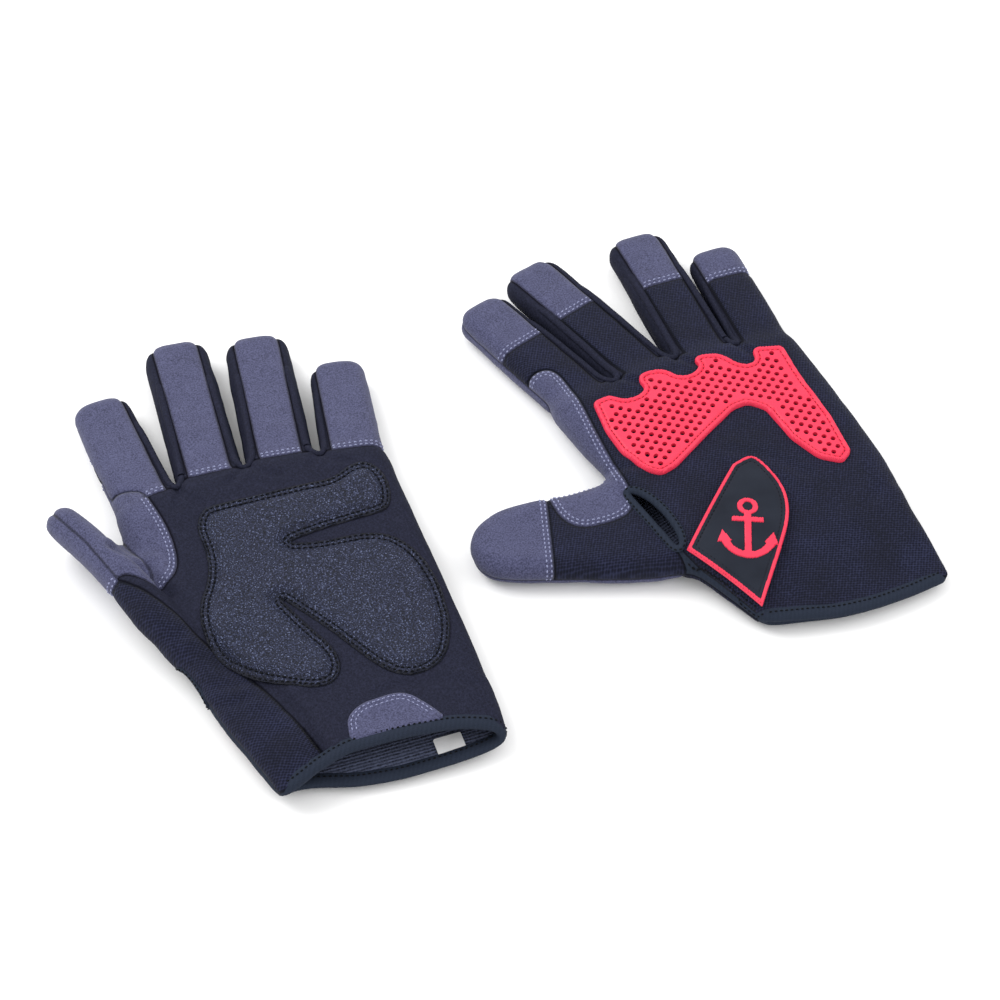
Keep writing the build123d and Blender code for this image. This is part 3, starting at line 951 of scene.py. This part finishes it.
# ---- how each panel is made: look, CAD nodes it stands for ----
PANELS = {
    "palm": (("hand", "palm_panel"), "leather", ("palm_panel",)),
    "back": (("hand", "back_panel"), "knit", ("back_panel", "outer_side_panel")),
    "wrist_knit": (("hand", "wrist_panel"), "knit", ()),
    "wrist_strap": (("hand", "wrist_strap"), "binding", ("wrist_strap",)),
    "web_patch": (("hand", "web_patch"), "suede", ("web_patch",)),
    "index_web": (("index", "web"), "suede", ()),
    "thumb_cap": (("thumb", "cap"), "suede", ("thumb_suede",)),
    "thumb_pad": (("thumb", "pad"), "suede", ()),
    "thumb_back": (("thumb", "back"), "knit", ("thumb_back",)),
    "thumb_palm": (("thumb", "palm"), "leather", ("thumb_sides",)),
    "thumb_web": (("thumb", "web"), "suede", ()),
}
for finger in FINGERS:
    for part, look, node in (("cap", "suede", "suede"), ("pad", "suede", None), ("back", "knit", "back"),
                             ("sides", "leather", "sides")):
        PANELS[f"{finger}_{part}"] = ((finger, part), look, (f"{finger}_{node}",) if node else ())

RUN_ON = ({"back_panel", "back"}, {"web_patch", "web"}, {"palm_panel", "palm"}, {"wrist_panel", "back"})


def is_seam(a, b):
    """Some panels of one cloth run on across a fold line without a seam."""
    (body_a, part_a), (body_b, part_b) = LABELS[a], LABELS[b]
    return body_a == body_b or {part_a, part_b} not in RUN_ON


def beside(glove, tree, skin, normals, borders, on, other, offsets, flat=None):
    """Lines that run beside the seams between two sets of panels, on the first."""
    e, i, j = borders
    pick = (np.isin(i, on) & np.isin(j, other)) | (np.isin(j, on) & np.isin(i, other))
    lines = []
    for chain in chains(e[pick]):
        if len(chain) < 5:
            continue
        q = spaced(np.concatenate([skin[chain], normals[chain]], 1), 1.2)
        p, n = relax_line(q[:, :3], 4), q[:, 3:]
        t, side = line_frames(p, n)
        keep = np.ones(len(p), bool) if flat is None else np.abs(t @ np.array((*flat, 0))) < 0.75
        if np.isin(glove.labels(p + 2.5 * side), on).mean() < 0.5:
            side = -side
        for offset in offsets:
            where, up = np.zeros_like(p), np.zeros_like(p)
            for k, v in enumerate((p + side * offset).tolist()):
                hit, normal, _, _ = tree.find_nearest(Vector(v))
                where[k], up[k] = hit, normal
            good = keep & np.isin(glove.labels(where), on)
            for run in np.split(np.arange(len(p)), np.flatnonzero(np.diff(good.astype(int))) + 1):
                if good[run[0]] and len(run) > 3:
                    lines.append((where[run], up[run]))
    return lines


def relax_line(p, rounds, closed=False):
    for _ in range(rounds):
        q = p.copy()
        q[1:-1] = 0.5 * p[1:-1] + 0.25 * (p[:-2] + p[2:])
        if closed:
            q[0] = 0.5 * p[0] + 0.25 * (p[-1] + p[1])
            q[-1] = 0.5 * p[-1] + 0.25 * (p[-2] + p[0])
        p = q
    return p


CREASES = {  # face (1 the back, -1 the palm), depth, half width, line on the plan
    "left": [
        (-1, 2.2, 3.2,
         [(-73, 124), (-66, 108), (-62, 95), (-60, 84), (-51, 58), (-39, 46), (-32, 30), (-29, 10)]),
        (-1, 2.0, 2.0, [(-84, 134), (-76, 125), (-70, 116), (-66, 108)]),
        (-1, 0.9, 1.6, [(-49, 164), (-46, 157), (-40, 150)]), (-1, 0.8, 1.6, [(-49, 162), (-52, 152)]),
        (-1, 0.9, 1.6, [(-17, 170), (-12, 160), (-4, 156)]),
        (-1, 0.8, 1.6, [(-17, 169), (-23, 160), (-27, 158)]),
        (-1, 0.9, 1.6, [(16, 165), (20, 157), (28, 154)]), (-1, 0.7, 1.5, [(16, 164), (10, 157)]),
        (-1, 0.8, 2.6, [(-74, 66), (-62, 56), (-52, 52)]),
        (-1, 0.7, 2.2, [(-66, 50), (-58, 44), (-48, 45)]),
        (-1, 0.6, 2.4, [(-84, 92), (-76, 84), (-68, 82)]),
        (-1, 0.7, 2.0, [(2, 30), (14, 31), (30, 28), (44, 22)]),
        (-1, 0.5, 1.8, [(-40, 32), (-30, 40), (-18, 37)]),
    ],
    "right": [
        (1, 0.9, 1.6, [(-33.5, 154), (-30, 146), (-25, 141)]), (1, 0.7, 1.5, [(-34, 152), (-39, 145)]),
        (1, 0.9, 1.6, [(-3.4, 151), (-1, 143), (3, 139)]), (1, 0.7, 1.5, [(-3.5, 149), (-8, 141)]),
        (1, 0.9, 1.6, [(25.4, 142), (28, 134)]), (1, 0.7, 1.8, [(-62, 106), (-54, 100), (-44, 98)]),
        (1, 0.5, 2.4, [(10, 20), (24, 34), (44, 42)]), (1, 0.4, 2.4, [(-12, 88), (2, 78), (12, 60)]),
    ],
}


def creased(glove, p):
    """How far each point of the skin is drawn in by its creases."""
    x, y, u = p[:, 0], p[:, 1], p[:, 2]
    mid, _ = glove.hand_faces(x, y)
    drawn = np.zeros(len(p))
    for up, depth, width, line in CREASES[glove.side]:
        line = relax_line(spaced(np.array(line, float), 2.0), 3)
        d = distance_to_line(x, y, line)
        across = np.exp(-(d / width) ** 2) - 0.35 * np.exp(-((d - 2.2 * width) / width) ** 2)
        drawn += depth * across * ease((up * (u - mid)) / 3)
    return drawn


def build_skin(glove):
    side = glove.side
    p, t = grow(glove.volume)
    p = relax(p, t, 3)
    p, face = cut_panels(p, t, glove.labels)
    e, i, j = border_edges(t, face)
    p = smooth_borders(p, e)
    off = numbered(("off", "slit"), ("off", "mouth"))
    real = np.array([a in off or b in off or is_seam(a, b) for a, b in zip(i.tolist(), j.tolist())])
    n = normals_of(p, t)

    seams = e[real]
    dots = np.concatenate([p[seams[:, 0]], p[seams].mean(1)])
    tree = KDTree(len(dots))
    for k, v in enumerate(dots.tolist()):
        tree.insert(v, k)
    tree.balance()
    distance = np.array([tree.find(v)[2] for v in p.tolist()])
    distance[np.unique(seams)] = 0
    sunk = 0.55 * np.exp(-(distance / 1.4) ** 2) - 0.30 * (1 - np.exp(-distance / 5))
    p = p + n * (0.30 * noise(p, 14) + 0.16 * noise(p + 50, 6) - sunk - creased(glove, p))[:, None]
    n = unit(relax(normals_of(p, t), t, 1))
    for name, (key, look, nodes) in PANELS.items():
        own = t[face == LABEL[key]]
        if len(own) < 20:
            continue
        if name == "thumb_back" and side == "right":
            nodes = nodes + ("thumb_sides",)
        shell, faces, used = thicken(p, n, own, SHELL)
        piece(name, side, shell, faces, look, key[0], nodes, np.tile(distance[used], 2), sharp=60)
    return p, t, n, ~np.isin(face, off), (e, i, j)


def build_stitches(glove, skin, tree):
    p, _, n, _, borders = skin
    side = glove.side
    rows = (1.4, 3.1)       # the two lines of thread, from the seam
    hand_panels = numbered(("hand", "palm_panel"), ("hand", "back_panel"), ("hand", "wrist_panel"))
    lines = {"hand": beside(glove, tree, p, n, borders, numbered(("hand", "web_patch")), hand_panels, rows)}
    for name in FINGERS:
        heading = bend_of(side, name)[1]
        cap, pad = numbered((name, "cap")), numbered((name, "pad"))
        lines[name] = beside(glove, tree, p, n, borders, cap, numbered((name, "back")), rows, heading)
        lines[name] += beside(glove, tree, p, n, borders, pad, hand_panels, rows, heading)
    web = numbered(("index", "web"))
    index_back = numbered(("index", "back"), ("index", "cap"))
    lines["index"] += beside(glove, tree, p, n, borders, web, index_back, rows)
    cap, thumb_back = numbered(("thumb", "cap")), numbered(("thumb", "back"))
    heading = (-0.376, 0.927) if glove.left else (-1.0, 0.0)
    lines["thumb"] = beside(glove, tree, p, n, borders, cap, thumb_back, rows, heading)
    lines["thumb"] += beside(glove, tree, p, n, borders, numbered(("thumb", "web")), thumb_back, rows)
    for body, found in lines.items():
        if found:
            q, faces = stitches(found)
            piece(f"{body}_seam_stitches", side, q, faces, "pale_thread", body, sharp=80)


def edge_loop(p, n, t, keep, near, step=1.3):
    """The kept skin's edge nearest to a point: its points, their normals, and the way into the cloth."""
    loops = [c for c in chains(rim_of(t[keep], len(p))) if len(c) > 30]
    loop = min(loops, key=lambda c: np.linalg.norm(p[c].mean(0) - near))
    if loop[0] == loop[-1]:
        loop = loop[:-1]
    q = spaced(np.concatenate([p[loop], n[loop]], 1), step, closed=True)
    path = relax_line(q[:, :3], 12, closed=True)
    out = unit(relax_line(q[:, 3:], 12, closed=True))
    along = unit(np.roll(path, -1, 0) - np.roll(path, 1, 0))
    return path, out, unit(np.cross(out, along))


BINDING = [(0.9, 4.3), (1.15, 3.2), (1.1, 1.2), (0.7, -0.5), (-0.3, -1.3), (-1.6, -1.4), (-2.7, -0.6),
           (-3.2, 1.0), (-3.2, 3.4), (-2.8, 4.3), (-1.0, 4.0)]
SLIT_BINDING = [(0.8, 2.6), (1.2, 1.6), (1.1, 0.4), (0.5, -0.7), (-0.6, -1.0), (-1.4, -0.4), (-1.6, 1.2),
                (-1.2, 2.5)]


def build_bindings(glove, skin):
    p, t, n, keep, _ = skin
    side = glove.side
    path, out, inward = edge_loop(p, n, t, keep, np.array((0, 0, 10.0)))
    q, faces = sweep(path, out, inward, BINDING)
    piece("cuff_binding", side, q, faces, "binding", "hand", ("cuff_binding",), sharp=70)
    rows = [(path + out * 1.2 + inward * 2.7, out), (path - out * 3.25 + inward * 2.4, -out)]
    middle = np.array((*np.mean(SLIT[side], 0), 17.0))
    path, out, inward = edge_loop(p, n, t, keep, middle, 0.9)
    q, faces = sweep(path, out, inward, SLIT_BINDING)
    piece("slit_binding", side, q, faces, "binding", "hand", sharp=70)
    rows.append((path + out * 1.15 + inward * 1.9, out))
    q, faces = stitches(rows, 2.3, 1.5, 0.36)
    piece("binding_stitches", side, q, faces, "dark_thread", "hand", sharp=80)


def build_piping(glove, tree):
    """The rolled edges of the strips between the fingers, which loop round each crotch on both faces."""
    side = glove.side
    turn = np.arange(8) / 8 * 2 * np.pi
    rolls = {}
    for a, b in zip(FINGERS[:-1], FINGERS[1:]):
        arms = []
        for name, way in ((a, 1), (b, -1)):
            (cx, cy), heading, length, _, _ = DIGITS[side][name]
            c, s = cos(radians(heading)), sin(radians(heading))
            along = np.array([0.72, 0.5, 0.3, 0.12, 0.01]) * length
            across = way * np.array([11.7, 11.7, 11.7, 11.9, 12.2])
            arms.append(np.stack([cx + across * c - along * s, cy + across * s + along * c], 1))
        bottom = (arms[0][-1] + arms[1][-1]) / 2 + (0, -4.0)
        line = relax_line(spaced(np.concatenate([arms[0], [bottom], arms[1][::-1]]), 1.2), 6)
        reach = np.linspace(0, 1, len(line))
        for up in (1, -1):
            p, out = cast(tree, line, up)
            p, out = relax_line(p, 5), unit(relax_line(out, 6))
            _, across = line_frames(p, out)
            p = p + out * (0.35 - 1.9 * np.exp(-np.minimum(reach, 1 - reach) / 0.05))[:, None]
            section = np.stack([1.25 * np.sin(turn), 1.7 * np.cos(turn)], 1)
            past = [glove.digit(name, p[:, 0], p[:, 1], p[:, 2])[1] > -0.6 for name in (a, b)]
            half = reach < 0.5
            for body, own in ((a, past[0] & half), (b, past[1] & ~half), ("hand", None)):
                if own is None:
                    own = ~((past[0] & half) | (past[1] & ~half))
                    own |= np.roll(own, 1) | np.roll(own, -1)
                if own.sum() > 3:
                    q, faces = sweep(p[own], out[own], across[own], section, closed=False)
                    rolls.setdefault(body, []).append((q, faces))
    for body, parts in rolls.items():
        q, faces = together(parts)
        piece(f"{body}_piping", side, q, faces, "leather", body, sharp=70)


def together(parts):
    starts = np.cumsum([0] + [len(q) for q, _ in parts])
    faces = [t + k for (_, t), k in zip(parts, starts)]
    return np.concatenate([q for q, _ in parts]), np.concatenate(faces)


def build_lining(glove):
    side = glove.side
    p, t = grow(glove.volume, level=-1.75)
    p = relax(p, t, 3)
    n = normals_of(p, t)
    middle = p[t].mean(1)
    mid, half = glove.hand_faces(middle[:, 0], middle[:, 1])
    cuff = glove.cuff_line(middle[:, 0], ((middle[:, 2] - mid) / half + 1) / 2)
    before_fold = glove.past_thumb_fold(middle[:, 0], middle[:, 1]) < 0
    seen = (inside_distance(middle[:, 0], middle[:, 1], SLIT[side]) > 1.6) | (middle[:, 2] < mid)
    own = t[(middle[:, 1] > cuff + 0.8) & (middle[:, 1] < 120) & before_fold & seen]
    ribs = 0.12 * np.cos(p[:, 1] * 2 * np.pi / 3.6) - 1.15 * creased(glove, p)
    shell, faces, _ = thicken(p + n * ribs[:, None], n, own, 0.7)
    piece("lining", side, shell, faces, "lining", "hand", ("lining",), sharp=70)
    return tree_of(p, own)


def on_skin(tree, line, up, lift, bed=None):
    """Points and normals of a plan line laid on a surface."""
    xy = spaced(np.asarray(line, float), 1.0)
    if bed is not None:
        p = np.concatenate([xy, (bed_terms(xy[:, 0], xy[:, 1]) @ bed)[:, None] + up * lift], 1)
        return p, np.tile((0.0, 0.0, float(up)), (len(p), 1))
    p, n = cast(tree, xy, up)
    p[:, 2] = relax_line(p[:, 2:3], 3)[:, 0]
    n = unit(relax_line(n, 3))
    return p + n * lift, n


def inset_line(outline, distance):
    """The outline drawn in by a distance, as a closed line, leaving out the places where it folds over."""
    p = spaced(np.asarray(outline, float), 1.0, closed=True)
    along = unit(np.roll(p, -1, 0) - np.roll(p, 1, 0))
    across = np.stack([-along[:, 1], along[:, 0]], 1)
    q = p + across * distance
    if (inside_distance(q[:, 0], q[:, 1], p) < 0).mean() < 0.5:
        q = p - across * distance
    good = -inside_distance(q[:, 0], q[:, 1], p) > distance * 0.93
    q = q[good]
    gaps = np.flatnonzero(np.linalg.norm(np.roll(q, -1, 0) - q, axis=1) > 6.0)
    if len(gaps) == 0:
        return [np.concatenate([q, q[:1]])]
    q = np.roll(q, -gaps[0] - 1, 0)
    gaps = np.flatnonzero(np.linalg.norm(np.diff(q, axis=0), axis=1) > 6.0) + 1
    return [run for run in np.split(q, gaps) if len(run) > 4]


def edge_top(d, height, edge=0.8):
    """Height of a rounded edge, d in from the outline."""
    k = np.clip(1 - d / edge, 0, 1)
    return height * np.sqrt(np.maximum(1 - 0.8 * k * k, 0))


def build_guard(glove, tree):
    side = glove.side
    outline = soften(GUARD[side], 3, cut=1.3)
    lean = radians(-6 if side == "right" else -2)
    c, s = cos(lean), sin(lean)
    rows, columns = np.meshgrid(np.arange(-25, 26), np.arange(-12, 13), indexing="ij")
    along, across = rows * 2.45, columns * 6.4 + (rows % 2) * 3.2
    holes = np.stack([across * c - along * s, across * s + along * c + 102], -1).reshape(-1, 2)
    holes = holes[inside_distance(holes[:, 0], holes[:, 1], outline) < -4.4]

    def gap(x, y):
        f = inside_distance(x, y, outline)
        near = np.full(x.shape, 1e9)
        for hx, hy in holes.tolist():
            near = np.minimum(near, (x - hx) ** 2 + (y - hy) ** 2)
        return np.maximum(f, 1.22 - np.sqrt(near))

    def top(x, y):
        d = -inside_distance(x, y, outline)
        rim = edge_top(d, 2.1, 0.9)
        field = 1.9 - 0.75 * np.exp(-((d - 2.4) / 0.42) ** 2)
        return rim + (field - rim) * ease((d - 1.5) / 0.6)

    low, high = outline.min(0) - 1, outline.max(0) + 1
    q, faces = slab(tree, gap, low, high, 0.55, 1, top, sink=0.3)
    piece("knuckle_guard", side, q, faces, "red", "hand", ("knuckle_guard",), sharp=38)
    rows = [on_skin(tree, line, 1, 1.3) for line in inset_line(outline, 2.4)]
    q, faces = stitches(rows, 2.2, 1.5, 0.22)
    piece("guard_stitches", side, q, faces, "red_thread", "hand", sharp=80)


def build_grip(glove, tree):
    side = glove.side
    outline = soften(GRIP[side], 3, cut=4.0)

    def top(x, y):
        d = -inside_distance(x, y, outline)
        quilt = 0.95 - 0.45 * np.exp(-((d - 1.3) / 0.55) ** 2) - 0.55 * np.exp(-((d - 3.3) / 0.6) ** 2)
        at = np.stack([x, y, 0 * x], -1)
        pad = 1.7 * ease((d - 3.6) / 4.0) + 0.10 * noise(at, 1.5) * ease((d - 3.6) / 2) + 0.2 * noise(at, 9)
        return edge_top(d, 1.0, 0.7) * quilt / 0.95 + np.maximum(pad, 0)

    low, high = outline.min(0) - 1, outline.max(0) + 1
    q, faces = slab(tree, lambda x, y: inside_distance(x, y, outline), low, high, 0.8, -1, top, sink=0.3)
    d = -inside_distance(q[:, 0], q[:, 1], outline)
    # Distances to the outline and the quilting lines; the grip's colour is darkened near them as painted
    # shade in the grooves.
    quilting = np.minimum.reduce([np.abs(d) + 0.2, np.abs(d - 1.3) + 0.45, np.abs(d - 3.3) + 0.45])
    patch = piece("grip_patch", side, q, faces, "grip", "hand", ("grip_patch",), quilting, sharp=55)
    rows = [on_skin(tree, line, -1, 0.85) for d in (1.3, 3.3) for line in inset_line(outline, d)]
    q, faces = stitches(rows, 2.5, 1.7, 0.36)
    piece("grip_stitches", side, q, faces, "dark_thread", "hand", sharp=80)


def build_pull(glove, tree):
    side = glove.side
    outline = soften(PULL[side], 2, cut=2.0)
    under_binding = PULL[side][[-1, 0]]

    def gap(x, y):
        return inside_distance(x, y, outline)

    low, high = outline.min(0) - 1, outline.max(0) + 1
    q, faces = slab(tree, gap, low, high, 0.8, -1, lambda x, y: edge_top(-gap(x, y), 0.9, 0.6), sink=0.3)
    piece("pull_patch", side, q, faces, "suede", "hand", ("pull_patch",), sharp=55)
    rows = []
    for d in (1.5, 3.3):
        for line in inset_line(outline, d):
            keep = distance_to_line(line[:, 0], line[:, 1], under_binding) > 4.2
            for run in np.split(np.arange(len(line)), np.flatnonzero(np.diff(keep.astype(int))) + 1):
                if keep[run[0]] and len(run) > 4:
                    rows.append(on_skin(tree, line[run], -1, 0.95))
    q, faces = stitches(rows, 2.2, 1.5, 0.28)
    piece("pull_stitches", side, q, faces, "pale_thread", "hand", sharp=80)


def anchor(x, y):
    """Distance to a plain anchor, upright about the origin and 32 high."""
    ring = np.abs(np.hypot(x, y - 11.5) - 3.3) - 1.4
    shank = np.maximum(np.abs(x) - 1.7, np.abs(y + 2.2) - 11.2)
    stock = np.maximum(np.abs(x) - 7.0, np.abs(y - 4.8) - 1.6)
    arms = np.maximum(np.abs(np.hypot(x, y + 2.0) - 10.6) - 1.9, y + 5.5)
    tip = [(6.2, -6.4), (13.4, -7.4), (11.0, -0.2)]
    fluke = inside_distance(np.abs(x), y, tip)
    return np.minimum.reduce([ring, shank, stock, arms, fluke])


def build_tab(glove, tree):
    side = glove.side
    corners = TAB[side]
    fold_a, fold_b = corners[:2]
    run = (fold_b - fold_a) / np.linalg.norm(fold_b - fold_a)
    away = np.array((-run[1], run[0]))
    if side == "left":      # lies under its glove, so its root is set back from the glove's edge
        corners = np.concatenate([corners[:2] + away * 5 + np.array([run, -run]) * 2, corners[2:]])
    outline = np.concatenate([corners[:2], soften(corners[1:], 2, closed=False)[1:]])
    bed = smooth_bed(tree, spaced(outline * 0.86 + outline.mean(0) * 0.14, 2.0), 1)

    def gap(x, y):
        return inside_distance(x, y, outline)

    low, high = outline.min(0) - 1, outline.max(0) + 1
    lift = 1.8
    pad = slab(tree, lambda x, y: gap(x, y) + 4.0, low, high, 1.0, 1, lambda x, y: 0.9 + 0 * x, sink=0.2)
    piece("loop_pad", side, *pad, "loop", "hand", ("loop_pad",), sharp=60)
    pad = slab(tree, lambda x, y: gap(x, y) + 4.5, low, high, 1.0, 1, lambda x, y: 1.0 + 0 * x,
               lift=lift - 0.9, sink=0.0, bed=bed)
    piece("hook_pad", side, *pad, "hook", "tab", ("hook_pad",), sharp=60)

    def rubber(x, y):
        d = -gap(x, y)
        return edge_top(d, 1.5, 0.6) - 0.45 * np.exp(-((d - 2.9) / 0.4) ** 2)

    q, faces = slab(tree, lambda x, y: gap(x, y) + 0.3, low, high, 0.6, 1, rubber, lift=lift, sink=0.1,
                    bed=bed)
    piece("tab_rubber", side, q, faces, "rubber", "tab", ("tab_pull",), sharp=45)
    rim = slab(tree, lambda x, y: np.maximum(gap(x, y), -gap(x, y) - 1.9), low, high, 0.5, 1,
               lambda x, y: edge_top(np.minimum(-gap(x, y), 1.9 + gap(x, y)), 1.9, 0.7), lift=lift,
               sink=0.15, bed=bed)
    piece("tab_rim", side, *rim, "red", "tab", sharp=50)

    middle, up = np.array((-28.5, 44.0)) + (0 if side == "right" else -7, 0), radians(-30)
    c, s = cos(up), sin(up)

    def emblem(x, y):
        dx, dy = x - middle[0], y - middle[1]
        return anchor(dx * c + dy * s, -dx * s + dy * c)

    raised = slab(tree, emblem, middle - 24, middle + 24, 0.5, 1,
                  lambda x, y: edge_top(-emblem(x, y), 2.0, 0.5), lift=lift, sink=-1.2, bed=bed)
    piece("tab_emblem", side, *raised, "red", "tab", sharp=50)
    rows = [on_skin(tree, line, 1, lift + 1.15, bed=bed) for line in inset_line(outline, 2.9)]
    q, faces = stitches(rows, 2.1, 1.4, 0.22)
    piece("tab_stitches", side, q, faces, "dark_thread", "tab", sharp=80)

    if side == "left":
        return
    rows = []
    for d in (-2.2, -4.4):
        rows.append(on_skin(tree, np.array([fold_a + run * 2, fold_b - run]) + away * d, 1, 0.15))
    q, faces = stitches(rows, 2.3, 1.6, 0.32)
    piece("strap_stitches", side, q, faces, "dark_thread", "hand", sharp=80)


def build_label(glove, lining):
    side = glove.side
    middle = 25.0 if side == "left" else 24.0
    base = -2.0 if side == "left" else -6.0

    def gap(x, y):
        return np.maximum(np.abs(x - middle) - 6.0, np.abs(y - base - 5.0) - 6.4)

    corners = np.array([(middle + dx, base + dy) for dx in (-6, 0, 6) for dy in (3, 8, 14)])
    bed = smooth_bed(lining, corners, -1, -9.0)
    tag = slab(lining, gap, (middle - 7, base - 2), (middle + 7, base + 15), 0.8, -1,
               lambda x, y: 0.45 + 0 * x, lift=0.95, sink=0.1, bed=bed)
    piece("size_label", side, *tag, "label", "hand", ("size_label",), sharp=60)


for glove in (Glove("left"), Glove("right")):
    skin = build_skin(glove)
    tree = tree_of(skin[0], skin[1])
    build_stitches(glove, skin, tree)
    build_bindings(glove, skin)
    build_piping(glove, tree)
    inside = build_lining(glove)
    build_guard(glove, tree)
    build_grip(glove, tree)
    build_pull(glove, tree)
    build_tab(glove, tree)
    build_label(glove, inside)


# ---- floor, light and camera ----
def plain(name, rgb, roughness):
    m = bpy.data.materials.new(name)
    m.use_nodes = True
    shader = m.node_tree.nodes["Principled BSDF"]
    shader.inputs["Base Color"].default_value = (*rgb, 1)
    shader.inputs["Roughness"].default_value = roughness
    return m


bpy.ops.mesh.primitive_plane_add(size=12, location=(0, 0, 0))
floor = bpy.context.object
floor.name = "floor"
floor.data.materials.append(plain("floor_white", (0.93, 0.93, 0.93), 0.9))

world = bpy.data.worlds.new("studio")
world.use_nodes = True
world.node_tree.nodes["Background"].inputs["Color"].default_value = (1, 1, 1, 1)
world.node_tree.nodes["Background"].inputs["Strength"].default_value = 1.15
bpy.context.scene.world = world
LIT = Vector((0.0167, -0.005, 0.008))      # what the lights face


def soft_light(name, place, size, power):
    data = bpy.data.lights.new(name, "AREA")
    data.shape, data.size, data.energy = "SQUARE", size, power
    light = bpy.data.objects.new(name, data)
    bpy.context.scene.collection.objects.link(light)
    light.location = place
    light.rotation_euler = (LIT - Vector(place)).to_track_quat("-Z", "Y").to_euler()


soft_light("key", (-0.9, 0.9, 1.5), 1.2, 22)
soft_light("fill", (1.3, -0.8, 1.4), 1.6, 10)

lens = bpy.data.cameras.new("camera")
lens.lens, lens.sensor_width = 105.3, 36.0
camera = bpy.data.objects.new("camera", lens)
bpy.context.scene.collection.objects.link(camera)
aim, distance, turn, tilt = Vector((0.0166935, -0.00498613, 0)), 1.3, radians(-23), radians(50)
camera.location = aim + distance * Vector((sin(turn) * cos(tilt), -cos(turn) * cos(tilt), sin(tilt)))
camera.rotation_euler = (aim - camera.location).to_track_quat("-Z", "Y").to_euler()
bpy.context.scene.camera = camera
bpy.context.scene.view_settings.view_transform = "Standard"
